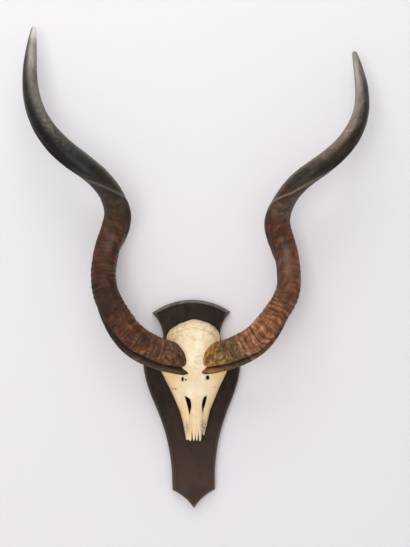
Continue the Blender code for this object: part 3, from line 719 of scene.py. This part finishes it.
def sheath(name, horn, seed, highlight_at, shade_and_blot_at, worn_at=None):
    """A horn's sheath: reach(share, turn) carried round the middle line.

    Reach is the radius, times a faint oval, plus the keel (a bell curve of the turn from its
    crest), minus the groove beside it, plus growth rings (two rows of waves of the distance along
    the horn, warped and faded by noise), plus lumps. The foot's rim curls in and the tip rounds off.
    """
    route, side, girth, keel_turn, groove_turn = horn
    shares = np.linspace(0, 1, HORN_ROWS) ** FOOT_CROWDING
    middle, length, along, front, inward = horn_frame(route, side, shares)
    turn = np.linspace(0, 2 * math.pi, HORN_COLUMNS, endpoint=False)
    turn = turn - KEEL_CROWDING * np.sin(turn)
    share, turn = np.meshgrid(shares, turn, indexing="ij")
    run = share * length
    straight = np.stack((TURN_RADIUS * np.cos(turn), TURN_RADIUS * np.sin(turn), run), axis=-1)
    angle = np.radians(eased(keel_turn, share, 0.02)) + turn

    # the section: an oval with the keel and the groove
    keel = eased(KEEL_AT, share)
    off = np.abs(2 * np.sin(turn / 2))
    crest = bell(off, CREST_WIDTH)
    reach = eased(RADIUS_AT, share) * girth * (1 + OVAL * np.cos(2 * turn))
    reach += keel * (0.30 * bell(off, KEEL_WIDTH) + 0.70 * crest)
    groove_depth = eased(GROOVE_AT, share)
    groove = bell(turn_gap(angle, np.radians(eased(groove_turn, share, 0.02))), eased(GROOVE_WIDTH, share))
    reach -= groove_depth * groove * (1 - 0.8 * crest)
    body = 1 - np.clip(crest + groove, 0, 1)

    # its surface: rings, lumps, the foot's crust and the chipped ledges
    rings, relief_shading, crease_shade, glint = growth_rings(straight, run, share, seed)
    reach += rings * (0.2 + 0.8 * body)
    reach += 0.8 * MM * lumps(straight, 0.032, seed + 2, 2) * ramp(1 - share, 0.02, 0.3)
    crust = ramp(0.16 - share, 0.0, 0.14)
    reach += crust * 1.2 * MM * lumps(straight, 0.011, seed + 3, 3)
    worn = np.zeros_like(share)
    if worn_at:
        place, spread, bearing_at, width = worn_at
        worn = bell(share - place, spread) * bell(turn_gap(angle, bearing_at), width)
        worn *= 0.25 + 0.75 * ramp(lumps(straight, (0.012, 0.012, 0.010), seed + 4, 2), -0.30, 0.25)
        ledge = (run / LEDGE_SPACING + 0.9 * lumps(straight, (0.020, 0.020, 0.012), seed + 6, 2)) % 1.0
        reach += worn * MM * (3.0 * ledge * ramp(1 - ledge, 0.0, 0.15) - 1.7)
    # painted highlights: pale bands where the light catches the horn
    painted_highlight = sum(weight * bell(share - place, spread) * beside(angle, bearing_at, width)
                 for place, spread, bearing_at, width, weight in highlight_at)
    # painted shade on the flanks turned from the light, with dark blots
    shade_and_blot = sum(weight * ramp(share, start, start + 0.05) * ramp(end - share, 0.0, 0.05)
               * beside(angle, bearing_at, width)
               for start, end, bearing_at, width, weight in shade_and_blot_at)
    reach *= 1 - (0.22 - 0.10 * crest) * np.clip(1 - run / (15 * MM), 0, 1) ** 2.2
    tip = np.clip((share - TIP_START) / (1 - TIP_START), 0, 1)
    reach *= np.sqrt(1 - tip**2)

    # the foot's rim leans along the horn, and its long tongue is kept on the skull's face
    spread = np.cos(angle)[..., None] * front[:, None] + np.sin(angle)[..., None] * inward[:, None]
    facing = np.degrees((angle + math.pi) % (2 * math.pi) - math.pi)
    lean = MM * eased(FOOT_RIM, facing, 0.02) * np.clip(1 - share / FOOT_SHARE, 0, 1)
    lean += 1.6 * MM * ramp(0.012 - share, 0.0, 0.012) * lumps(straight, 0.008, seed + 7, 2)
    points = middle[:, None] + reach[..., None] * spread + lean[..., None] * along[:, None]
    tongue = np.clip(-lean - 6 * MM, 0, None)
    points[..., 1] += tongue * (along[:, None, 1] - 0.16)

    # the foot's lip turns in and closes inside the skull
    lip = [middle[0] + inner * (points[0] - middle[0]) + sink * MM * along[0] for inner, sink in FOOT_LIP]
    points = np.concatenate((lip, points))
    fields = {
        "share": share,
        "straight": straight,
        "relief_shading": relief_shading,
        # painted shade on the keel's side of the horn
        "under": ramp(np.cos(turn), -0.45, 0.75),
        "crest": crest * ramp(keel, 0.0, 0.006),
        "worn": worn,
        "painted_highlight": np.clip(painted_highlight, 0, 1),
        "shade_and_blot": np.clip(shade_and_blot, 0, 1),
        "crease_shade": crease_shade * body,
        "glint": glint * body,
        # painted shade in the groove
        "groove": np.clip(1.3 * groove * groove_depth / (5 * MM), 0, 1) * (1 - crest),
    }
    fields = {label: np.concatenate((np.repeat(values[:1], len(lip), axis=0), values))
              for label, values in fields.items()}
    return add_piece(name, points, grid_faces(len(points), HORN_COLUMNS, around=True), fields)


def growth_rings(straight, run, share, seed):
    """Height of the growth rings, the same as a plain number for painted shade and light, and their
    painted shade in the creases and painted highlights on the ridges: broad waves and fine hoops round the
    horn, each wandering and fading in and out by noise. The painted shade is a narrow bell at a wave's
    trough, and the painted highlight one just before it."""
    wander = 0.9 * lumps(straight, 0.05, seed) + 0.22 * lumps(straight, 0.018, seed + 5)
    place = run / WAVE_SPACING + wander
    wave = 0.5 + 0.5 * np.cos(2 * math.pi * place)
    hoop = 0.5 + 0.5 * np.cos(2 * math.pi * (run / HOOP_SPACING + 1.7 * wander))
    strong = ramp(lumps(straight, (0.055, 0.055, 0.030), seed + 9, 2), -0.45, 0.35)
    fine = ramp(lumps(straight, (0.040, 0.040, 0.022), seed + 12, 2), -0.40, 0.30)
    wave_height, hoop_height = eased(WAVE_AT, share), eased(HOOP_AT, share)
    waves = wave_height * strong * (wave**1.4 - 0.45)
    hoops = hoop_height * fine * (hoop - 0.5)
    marked = np.clip(wave_height / 1.3, 0, 1) * ramp(strong, 0.15, 0.75)
    # painted shade in each wave's trough; the hoops' troughs get it too, below
    crease_shade = marked * bell(place % 1.0 - 0.5, 0.085)
    lit = ramp(lumps(straight, (0.032, 0.032, 0.008), seed + 15, 2), -0.1, 0.6)
    glint = marked * bell(place % 1.0 - 0.32, 0.075) * lit
    hoop_line = np.clip(2.0 * hoop_height, 0, 1) * fine * (1 - hoop) ** 4
    return (waves + hoops) * MM, waves + 1.4 * hoops, np.maximum(crease_shade, 0.55 * hoop_line), glint


def turn_gap(turn, other):
    """The angle between two bearings, from 0 to half a turn."""
    return np.abs((turn - other + math.pi) % (2 * math.pi) - math.pi)


def beside(angle, bearing, width):
    """A bell curve round the horn about a bearing in degrees."""
    return bell(turn_gap(angle, math.radians(bearing)), width)


# ---------------------------------------------------------------- skull

def dome_share(z):
    """How much of its full width and depth the brain case keeps at a height, from 0 to 1."""
    rows = np.array(DOME_STATIONS)[::-1]
    share = np.interp(z, rows[:, 0], rows[:, 1]) / DOME_WIDEST
    return np.where(z > DOME_FOOT, np.minimum(share, 1), 1)


def nose_end(x):
    """Height of the nose's lower end: prongs that taper to their tips, with gaps between."""
    places, heights = np.array(sorted(PRONG_TIPS + PRONG_GAPS)).T
    places = np.concatenate(([-0.030], places, [0.045]))
    heights = np.concatenate(([heights[0] + 0.012], heights, [heights[-1] + 0.010]))
    i = np.clip(np.searchsorted(places, x) - 1, 0, len(places) - 2)
    t = np.clip((x - places[i]) / (places[i + 1] - places[i]), 0, 1)
    rising = heights[i + 1] > heights[i]
    bend = np.where(rising, t**2.6, 1 - (1 - t) ** 2.6)
    return heights[i] + (heights[i + 1] - heights[i]) * bend


def skull_relief(x, z):
    """What is carved into or raised from the smooth face, and the fields that colour it."""
    here = np.stack((x, np.zeros_like(x), z), axis=-1)
    side = x - NOSE_X
    raised = 0.9 * MM * lumps(here, 0.035, 40, 2) + 0.25 * MM * lumps(here, 0.008, 44, 2)

    # nose bones: a rounded ridge between two furrows, with a fine seam down its middle
    on_nose = ramp(-z, 0.062, 0.105)
    nose_half = np.interp(-z, (0.06, 0.095, 0.125, 0.19), (0.020, 0.0135, 0.0125, 0.0115))
    raised += on_nose * 3.4 * MM * np.clip(1 - (side / (1.25 * nose_half)) ** 2, 0, 1) ** 0.8
    furrow = on_nose * ramp(-z, 0.10, 0.125) * bell(np.abs(side) - nose_half, 1.1 * MM)
    raised -= 1.3 * MM * furrow
    for rise, height, spread, line, out, width, slant in SWELLINGS:
        across = np.abs(x - line) - out - slant * (z - height)
        raised += rise * MM * bell(z - height, spread) * bell(across, width)

    # seams between the bones: thin wandering grooves
    wander = np.stack([1.1 * MM * lumps(here, 0.0045, seed, 2) + 1.0 * MM * lumps(here, 0.012, seed + 2)
                       for seed in (50, 54)])
    wx, wz = x + wander[0], z + wander[1]
    crown = bell(distance_to(wx, wz, CROWN_SEAM), 0.65 * MM) * ramp(lumps(here, 0.010, 56), -0.6, 0.2)
    temple = np.minimum(distance_to(wx, wz, TEMPLE_LEFT), distance_to(wx, wz, TEMPLE_RIGHT))
    nose = np.minimum(distance_to(x, z, NOSE_SEAM), distance_to(x + 0.3 * wander[0], z, BROW_LEFT))
    nose = bell(np.minimum(nose, distance_to(x + 0.3 * wander[0], z, BROW_RIGHT)), 0.45 * MM)
    flank = np.minimum(distance_to(x, z, NOSE_SEAM_LEFT), distance_to(x, z, NOSE_SEAM_RIGHT))
    nick = distance_to(x, z + 0.3 * wander[1], NICK_LEFT)
    nick = bell(np.minimum(nick, distance_to(x, z, NICK_RIGHT) + 0.4 * MM), 1.0 * MM)
    seam = 0.50 * crown + 0.26 * bell(temple, 1.6 * MM) + 0.16 * nose + 0.4 * bell(flank, 0.8 * MM)
    seam = np.clip(seam, 0, 1)
    raised -= 0.45 * MM * seam + 1.8 * MM * nick + 0.8 * MM * bell(flank, 1.0 * MM)

    # painted shade in the nicks and holes
    hole_shade = 0.9 * ramp(nick, 0.2, 0.7)
    for hole_x, hole_z, wide, tall, deep in FORAMINA:
        hole = bell(np.hypot((x - hole_x) / wide, (z - hole_z) / tall), 1.0 * MM)
        raised -= deep * MM * hole
        hole_shade = np.maximum(hole_shade, ramp(hole * min(deep / 5.0, 1.0), 0.05, 0.30))

    # colour fields: warm at the cheeks, temples and nose, and warmer towards the lower face's sides as
    # painted shade; grey on the crown; brown near the prongs
    out = np.abs(side)
    rim = ramp(out / (0.068 + 0.30 * np.minimum(z, 0)), 0.6, 1.0)
    warm = bell(z + 0.022, 0.034) * ramp(out, 0.026, 0.060)
    warm += 0.7 * ramp(out, 0.040, 0.066) * ramp(z, 0.02, 0.06)
    warm += 0.55 * on_nose * ramp(lumps(here, 0.02, 60), -0.3, 0.5)
    warm += 0.5 * bell(z + 0.075, 0.012) * bell(side, 0.008)
    # painted shade: warmer towards the lower face's sides
    warm += 0.35 * ramp(-z, 0.03, 0.07) * rim
    grey = ramp(z, 0.045, 0.085) * ramp(lumps(here, 0.022, 61, 2), -0.35, 0.35)
    grey += 0.55 * bell(z - 0.020, 0.034) * bell(side, 0.028)
    stain_and_shade = 1.3 * bell(x - 0.0270, 0.0060) * bell(z + 0.151, 0.020)
    stain_and_shade += 1.1 * bell(x + 0.0135, 0.0045) * bell(z + 0.154, 0.014)
    stain_and_shade += 0.4 * bell(z - 0.078, 0.012) * ramp(out, 0.035, 0.055) + 0.35 * furrow
    fields = {"warm": warm, "grey": grey, "stain_and_shade": stain_and_shade, "seam": seam, "hole_shade": hole_shade}
    return raised, {label: np.clip(values, 0, 1) for label, values in fields.items()}


def skull():
    """The skull's face and its flat sawn back: two sheets over one grid that share their border.

    In each cross section x = width * cos(t)^p and depth = proud * sin(t)^p, with t from 0 to pi;
    relief is added to the depth, the eye sockets push the sides in, and inside the two slits the
    sheets are opened right through.
    """
    row = np.linspace(0, 1, SKULL_ROWS)[:, None]
    rest = SKULL_TOP - (SKULL_TOP - SKULL_FOOT) * (0.86 * row + 0.14 * row**2) * row**0.35
    t = np.linspace(0, math.pi, SKULL_COLUMNS)[None, :]
    t = t + 0.20 * np.sin(2 * t)
    z = np.broadcast_to(rest, (SKULL_ROWS, SKULL_COLUMNS)).copy()
    station = np.array(SKULL_STATIONS)
    width = eased(station[:, (0, 1)], z, 0.025) * dome_share(z)
    proud = eased(station[:, (0, 2)], z, 0.025) * dome_share(z)
    power = 2 / np.interp(z, (-0.19, -0.10, -0.02, 0.04, 0.10), (2.5, 2.5, 2.6, 2.5, 2.1))
    cosine, bulge = np.cos(t), np.clip(np.sin(t), 0, 1) ** power
    rows = np.array(DOME_STATIONS)[::-1]
    middle = SKULL_X + MM * np.interp(z, rows[:, 0], rows[:, 2])
    x = middle + width * np.sign(cosine) * np.abs(cosine) ** power
    depth = proud * bulge

    # below the comb line the rows bend down to the prongs' ends
    low = np.clip((NOSE_COMB - rest) / (NOSE_COMB - SKULL_FOOT), 0, 1)
    z = np.where(low > 0, NOSE_COMB + (nose_end(x) - NOSE_COMB) * low, z)
    lift = 13 * MM * ramp(-z, 0.140, 0.176) * ramp(0.045 - np.abs(x - NOSE_X), 0.0, 0.01)

    raised, fields = skull_relief(x, z)
    here = np.stack((x, depth, z), axis=-1)
    # brown painted shade, patchy, on the sides that turn away, laid in with the stains
    border = ramp(0.70 - bulge, 0.0, 0.40) * (0.35 + 0.65 * ramp(lumps(here, 0.012, 64, 2), -0.3, 0.3))
    fields["stain_and_shade"] = np.maximum(fields["stain_and_shade"], 0.70 * border)
    depth = depth + raised * ramp(bulge, 0.25, 0.75)
    thin = ramp(low, 0.45, 1.0)
    depth = depth * (1 - thin) + thin * np.clip(depth * (1 - 0.10 * low), 0, None)

    # eye sockets, open at the sawn back
    orbit = np.clip(1 - ((z - ORBIT_Z) / ORBIT_RADIUS) ** 2 - (depth / ORBIT_RADIUS) ** 2, 0, 1) ** 0.5
    x = x - np.sign(x - SKULL_X) * ORBIT_DEPTH * orbit * ramp(np.abs(x - SKULL_X), 0.040, 0.060)

    # the slits beside the nose bones: points near a slit's rim are drawn onto it
    slit = slit_distance(x, z)
    near = np.abs(slit) < 0.8 * MM
    step = 0.1 * MM
    slope_x = (slit_distance(x + step, z) - slit_distance(x - step, z)) / (2 * step)
    slope_z = (slit_distance(x, z + step) - slit_distance(x, z - step)) / (2 * step)
    move = np.where(near, -slit, 0.0)
    x, z = x + move * slope_x, z + move * slope_z
    slit = np.where(near, 0.0, slit)
    within = slit > 0
    depth = np.where(within, 0.0, depth - 1.2 * MM * bell(slit, 1.6 * MM))
    # painted shade inside the slits
    fields["hole_shade"] = np.maximum(fields["hole_shade"], within)
    fields["seam"] = np.maximum(fields["seam"], 0.35 * bell(slit, 1.2 * MM))

    # the two sheets, which meet at the sides and at the prongs' ends
    inside = np.ones_like(depth)
    inside[:, (0, -1)] = 0.0
    back = -SKULL_BACK - np.minimum(lift, np.maximum(depth - 3 * MM, 0)) * inside
    face = np.stack((x, np.minimum(-SKULL_BACK - depth, back), z), axis=-1)
    flat = np.stack((x, back, z), axis=-1)
    face[-1] = flat[-1] * 0.5 + face[-1] * 0.5
    flat[-1] = face[-1]
    faces = grid_faces(SKULL_ROWS, SKULL_COLUMNS)
    open_through = within.ravel()[faces].all(axis=1)
    faces = faces[~open_through]
    both = np.concatenate((faces, faces[:, ::-1] + SKULL_ROWS * SKULL_COLUMNS))
    points = np.concatenate((face.reshape(-1, 3), flat.reshape(-1, 3)))
    fields = {label: np.tile(values.ravel(), 2) for label, values in fields.items()}
    return add_piece("skull_bone", points, both, fields)


def slit_distance(x, z):
    """Signed distance to the nearer of the two slits beside the nose, positive inside it."""
    return np.maximum(distance_inside(x, z, SLIT_LEFT), distance_inside(x, z, SLIT_RIGHT))


# ---------------------------------------------------------------- shield and fittings

def shield_outline():
    """The board's outline, from the top of its arch round by the right: arcs and one S curve."""
    half = np.concatenate((
        arc(SHIELD_TOP, SHIELD_CORNER, 8 * MM, 40),
        arc(SHIELD_CORNER, SHIELD_WAIST, -6 * MM, 28),
        arc(SHIELD_WAIST, SHIELD_HIP_TOP, -9 * MM, 28),
        arc(SHIELD_HIP_TOP, SHIELD_HIP, 3 * MM, 12),
        s_curve(SHIELD_HIP, SHIELD_FLANK_UPPER, SHIELD_FLANK_LOWER, SHIELD_FOOT_TOP, 60),
        arc(SHIELD_FOOT_TOP, SHIELD_SHOULDER, 0.2 * MM, 8),
        arc(SHIELD_SHOULDER, SHIELD_POINT, -5 * MM, 28),
        [SHIELD_POINT],
    ))
    return np.concatenate((half, half[-2:0:-1] * (-1, 1)))


def inset(outline, distance):
    """The outline moved inwards, with mitred corners. Points that would cross a corner's bisector
    end up nearer to the outline than the rest, and are drawn to that corner's mitre."""
    edge = np.roll(outline, -1, axis=0) - outline
    edge /= np.linalg.norm(edge, axis=1)[:, None]
    normal = np.column_stack((edge[:, 1], -edge[:, 0]))
    before = np.roll(normal, 1, axis=0)
    bend = (normal * before).sum(axis=1)
    moved = outline + distance * (normal + before) / (1 + bend)[:, None]
    corners = moved[bend < 0.9]
    nearest = np.linalg.norm(moved[:, None] - corners[None], axis=2).argmin(axis=1)
    crossed = distance_to(*moved.T, outline, closed=True) < 0.97 * distance
    return np.where(crossed[:, None], corners[nearest], moved)


def stacked(name, rings, fields=None):
    """A closed piece from rings of (x, z) points, each at its own depth in front of the wall."""
    layers = [np.column_stack((ring[:, 0], np.full(len(ring), -depth), ring[:, 1])) for ring, depth in rings]
    count = len(layers[0])
    last = (len(layers) - 1) * count
    caps = (range(count), range(last, last + count))
    return add_piece(name, np.concatenate(layers), grid_faces(len(layers), count, around=True), fields, caps)


def prism_piece(name, outline, front, back):
    """A flat outline carried straight from depth `front` to depth `back`."""
    return stacked(name, ((outline, front), (outline, back)))


def carve(piece, cutters):
    """Takes the cutters' shapes out of a piece for good, and removes the cutters."""
    for cutter in cutters:
        step = piece.modifiers.new(cutter.name, "BOOLEAN")
        step.operation = "DIFFERENCE"
        step.object = cutter
    seen = piece.evaluated_get(bpy.context.evaluated_depsgraph_get())
    carved = bpy.data.meshes.new_from_object(seen)
    piece.modifiers.clear()
    piece.data = carved
    for cutter in cutters:
        bpy.data.objects.remove(cutter, do_unlink=True)


def circle(x, z, radius, steps):
    """Points round a circle."""
    turn = np.linspace(0, 2 * math.pi, steps, endpoint=False)
    return np.column_stack((x + radius * np.cos(turn), z + radius * np.sin(turn)))


def stadium(length, width, z, steps=12):
    """A rectangle with round ends, lying along X."""
    turn = np.linspace(-math.pi / 2, math.pi / 2, steps)
    radius = width / 2
    right = np.column_stack((length / 2 - radius + radius * np.cos(turn), z + radius * np.sin(turn)))
    return np.concatenate((right, (right * (-1, 1))[::-1]))


def middle_of(node):
    """The middle and the size of a solid's box."""
    low, high = (np.array(corner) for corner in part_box(node))
    return (low + high) / 2, high - low


def shield():
    """The board: its edge section carried round the outline, closed by a flat front and back. The
    edge field marks a light edge, partly wear and partly painted highlight: on the arris, and all over the
    arch's bevel, which faces up."""
    outline = shield_outline()
    rings = []
    edge = []
    for inwards, forwards in SHIELD_EDGE:
        ring = inset(outline, inwards * MM)
        rings.append((ring, forwards * MM))
        bevel = ramp(forwards, 13.0, 14.5) * ramp(7.6 - inwards, 0.0, 1.0)
        # painted highlight on the arris and on the arch's upward bevel, partly wear
        bright = np.maximum(bell(forwards - 14.9, 0.6), ramp(ring[:, 1], 0.11, 0.135))
        edge.append(bevel * (0.22 + 0.78 * bright))
    board = stacked("shield_board", rings, {"edge": np.concatenate(edge)})
    at, size = middle_of("hanger_plate")
    pocket = stadium(size[0] + 2 * ROOM, size[2] + 2 * ROOM, at[2])
    cutters = [prism_piece("plate_pocket", pocket, size[1] + ROOM, -1 * MM),
               prism_piece("head_room", stadium(22 * MM, 17 * MM, at[2]), 9 * MM, 0.0)]
    cutters += [screw_well(node) for node in SCREWS]
    carve(board, cutters)
    board.data.set_sharp_from_angle(angle=math.radians(28))
    return board


def turned(name, profile, x, z, steps):
    """A profile of (radius, depth) turned round an axis along Y, closed at both ends."""
    return stacked(name, [(circle(x, z, radius, steps), depth) for radius, depth in profile])


def screw_well(node):
    """The stepped and countersunk hole that a screw fills, with a hair of room all round."""
    at, size = middle_of(node)
    head, length = size[0] / 2, size[1]
    shank = SHANK_SHARE * head + ROOM
    profile = ((head + 4 * ROOM, -3 * ROOM), (head + ROOM, ROOM), (shank, 0.63 * head + ROOM),
               (shank, length + ROOM))
    return turned(f"{node}_well", profile, at[0], at[2], 40)


def keyhole(x, z):
    """The outline of a round hole with a narrow slot rising from it, which hangs on a wall screw."""
    radius, neck, low, top = 5.5 * MM, 2.4 * MM, -3.0 * MM, 6.9 * MM
    lean = math.asin(neck / radius)
    turn = np.linspace(math.pi / 2 + lean, 2.5 * math.pi - lean, 33)
    hole = np.column_stack((radius * np.cos(turn), low + radius * np.sin(turn)))
    turn = np.linspace(0, math.pi, 13)
    slot = np.column_stack((neck * np.cos(turn), top - neck + neck * np.sin(turn)))
    return np.concatenate((hole, slot)) + (x, z)


def hanger_plate():
    """The sheet steel hanger in the shield's back: a round-ended plate with a keyhole and two
    countersunk screw holes, its edges softened."""
    at, size = middle_of("hanger_plate")
    plate = prism_piece("hanger_plate_pressed", stadium(size[0], size[2], at[2]), size[1], 0.0)
    carve(plate, [prism_piece("keyhole", keyhole(at[0], at[2]), 2 * size[1], -size[1]),
                  screw_well("hanger_screw_left"), screw_well("hanger_screw_right")])
    soft = plate.modifiers.new("soft_edges", "BEVEL")
    soft.width = 0.25 * MM
    soft.segments = 2
    soft.limit_method = "ANGLE"
    soft.angle_limit = math.radians(40)
    return plate


def screw(node):
    """A countersunk screw: a flat head with a cross recess, a cone and a thread.

    The head is a disc in rings whose depth is pushed in by the recess, a cross of two soft bars;
    the thread is a helix, a wave of the turn minus the distance along the shank.
    """
    at, size = middle_of(node)
    head, length = size[0] / 2, size[1]
    start = -at[1] - length / 2
    shank = SHANK_SHARE * head
    turn = np.linspace(0, 2 * math.pi, SCREW_STEPS, endpoint=False)
    radii = np.linspace(0, 1, 14)[:, None] * (head - 0.3 * MM)
    x, z = radii * np.cos(turn), radii * np.sin(turn)
    bars = [ramp(0.11 * head - np.abs(a), -0.03 * head, 0.03 * head)
            * ramp(0.60 * head - np.abs(b), 0, 0.25 * head) for a, b in ((x, z), (z, x))]
    recess = np.maximum(*bars) * 0.42 * head
    face = np.stack((at[0] + x, -(start + recess), at[2] + z), axis=-1)

    # rim, cone's end, threaded shank and point
    threads = np.linspace(0.62 * head, length - 2.2 * shank, THREAD_RINGS)
    depth = np.concatenate(([0.15 * MM, 0.5 * MM], threads, [length - shank, length]))
    rim = [head - 0.1 * MM] * 2
    radius = np.concatenate((rim, np.full(THREAD_RINGS, shank), [0.55 * shank, 0.05 * shank]))
    wave = np.cos(turn - 2 * math.pi * depth[:, None] / (0.75 * shank))
    threaded = ramp(depth, 0.35 * length, 0.40 * length)[:, None] * (radius == shank)[:, None]
    reach = radius[:, None] * (1 + threaded * (0.10 * wave - 0.10))
    body = np.stack((at[0] + reach * np.cos(turn), np.broadcast_to(-(start + depth)[:, None], reach.shape),
                     at[2] + reach * np.sin(turn)), axis=-1)
    rings = np.concatenate((face, body))
    point = range((len(rings) - 1) * SCREW_STEPS, len(rings) * SCREW_STEPS)
    faces = grid_faces(len(rings), SCREW_STEPS, around=True)
    return add_piece(f"{node}_driven", rings, faces, caps=(point,), sharp=40)


# ---------------------------------------------------------------- stage

CAMERA_PLACE = (0.036, -3.1, 0.2278)
CAMERA_LENS = 81.0
CAMERA_ROLL = 0.8
AIM = (0.02, 0.0, 0.25)
WALL_Y = 1.5 * MM
WALL_TOP = 3.2
FLOOR_Z = -0.9
FLOOR_FRONT = -5.0
HALF_ROOM = 3.5
# Soft lights: name, place, size, power in watts, colour
LIGHTS = (
    ("overhead", (-0.35, -1.7, 3.0), 2.4, 47.0, (1.0, 0.99, 0.98)),
    ("front", (-0.8, -4.4, 0.3), 2.6, 60.0, (1.0, 0.995, 0.99)),
    ("rear", (0.5, 3.2, -0.1), 2.2, 60.0, (1.0, 1.0, 1.0)),
)
SKY = (0.965, 0.975, 1.0, 1.0)
SKY_STRENGTH = 0.52


def paint(name, colour, roughness):
    """Flat paint for the wall and the floor."""
    made = Finish(name, roughness, specular=0.2)
    made.put(made.shader.inputs["Base Color"], shade(*colour))
    return made


def backdrop(name, corners, material):
    """A flat sheet that belongs to the studio."""
    mesh = bpy.data.meshes.new(name)
    mesh.from_pydata(corners, [], [(0, 1, 2, 3)])
    mesh.materials.append(material)
    sheet = bpy.data.objects.new(name, mesh)
    bpy.context.scene.collection.objects.link(sheet)


def wall():
    """A pale wall just behind the shield. It is seen only from the front, and casts no shadow, so
    that the trophy's back can be looked at and lit."""
    made = paint("wall_paint", (236, 233, 235), 0.9)
    clear = made.node("ShaderNodeBsdfTransparent")
    behind = made.node("ShaderNodeNewGeometry").outputs["Backfacing"]
    shadow = made.node("ShaderNodeLightPath").outputs["Is Shadow Ray"]
    hidden = made.maths("MAXIMUM", behind, shadow)
    both = made.filled("ShaderNodeMixShader", {0: hidden, 1: made.shader.outputs[0], 2: clear.outputs[0]})
    made.put(made.tree.nodes["Material Output"].inputs["Surface"], both.outputs[0])
    corners = [(x, WALL_Y, z) for x, z in ((-HALF_ROOM, FLOOR_Z), (HALF_ROOM, FLOOR_Z),
                                           (HALF_ROOM, WALL_TOP), (-HALF_ROOM, WALL_TOP))]
    backdrop("wall", corners, made.material)


def floor():
    """A pale floor below the trophy."""
    corners = [(x, y, FLOOR_Z) for x, y in ((-HALF_ROOM, FLOOR_FRONT), (HALF_ROOM, FLOOR_FRONT),
                                            (HALF_ROOM, HALF_ROOM), (-HALF_ROOM, HALF_ROOM))]
    backdrop("floor", corners, paint("floor_paint", (226, 224, 226), 0.8).material)


def soft_light(name, place, size, power, tint):
    """A square area light that looks at the trophy's middle."""
    lamp = bpy.data.lights.new(name, "AREA")
    lamp.size = size
    lamp.energy = power
    lamp.color = tint
    holder = bpy.data.objects.new(name, lamp)
    aim = np.array(AIM) - np.array(place)
    holder.location = place
    tilt = math.atan2(math.hypot(aim[0], aim[1]), -aim[2])
    holder.rotation_euler = (tilt, 0.0, math.atan2(-aim[0], aim[1]))
    bpy.context.scene.collection.objects.link(holder)


def studio():
    """Pale sky, three soft lights and the camera, which leans a little."""
    scene = bpy.context.scene
    scene.view_settings.view_transform = "Standard"
    world = bpy.data.worlds.new("studio")
    world.use_nodes = True
    sky = world.node_tree.nodes["Background"]
    sky.inputs["Color"].default_value = SKY
    sky.inputs["Strength"].default_value = SKY_STRENGTH
    scene.world = world
    for light in LIGHTS:
        soft_light(*light)
    lens = bpy.data.cameras.new("camera")
    lens.lens = CAMERA_LENS
    camera = bpy.data.objects.new("camera", lens)
    camera.location = CAMERA_PLACE
    camera.rotation_euler = (math.pi / 2, math.radians(CAMERA_ROLL), 0.0)
    scene.collection.objects.link(camera)
    scene.camera = camera


# ---------------------------------------------------------------- making

def main():
    """Makes the nine pieces, each in place of its solid, and then the studio."""
    # each horn's last colour is the painted highlight along its keel's crest
    left = keratin("left_keratin", LEFT_COLOURS, (32, 28, 25), (128, 98, 72), (118, 102, 90))
    right = keratin("right_keratin", RIGHT_COLOURS, (42, 31, 24), (244, 168, 92), (158, 132, 106))
    left_horn = (LEFT_ROUTE, -1, 1.0, LEFT_KEEL, LEFT_GROOVE)
    right_horn = (RIGHT_ROUTE, 1, RIGHT_GIRTH, RIGHT_KEEL, RIGHT_GROOVE)
    left_sheath = sheath("left_sheath", left_horn, 11, LEFT_HIGHLIGHTS, LEFT_SHADE_AND_BLOT, LEFT_WORN)
    right_sheath = sheath("right_sheath", right_horn, 71, RIGHT_HIGHLIGHTS, RIGHT_SHADE_AND_BLOT)
    stands_for(left_sheath, "horn_left", left)
    stands_for(right_sheath, "horn_right", right)
    stands_for(skull(), "skull", bone())
    stands_for(shield(), "shield", stained_wood())
    screws = steel("screw_steel", (168, 166, 160), 0.34)
    for node in SCREWS:
        stands_for(screw(node), node, screws)
    stands_for(hanger_plate(), "hanger_plate", steel("plate_steel", (176, 176, 174), 0.30))
    wall()
    floor()
    studio()


main()
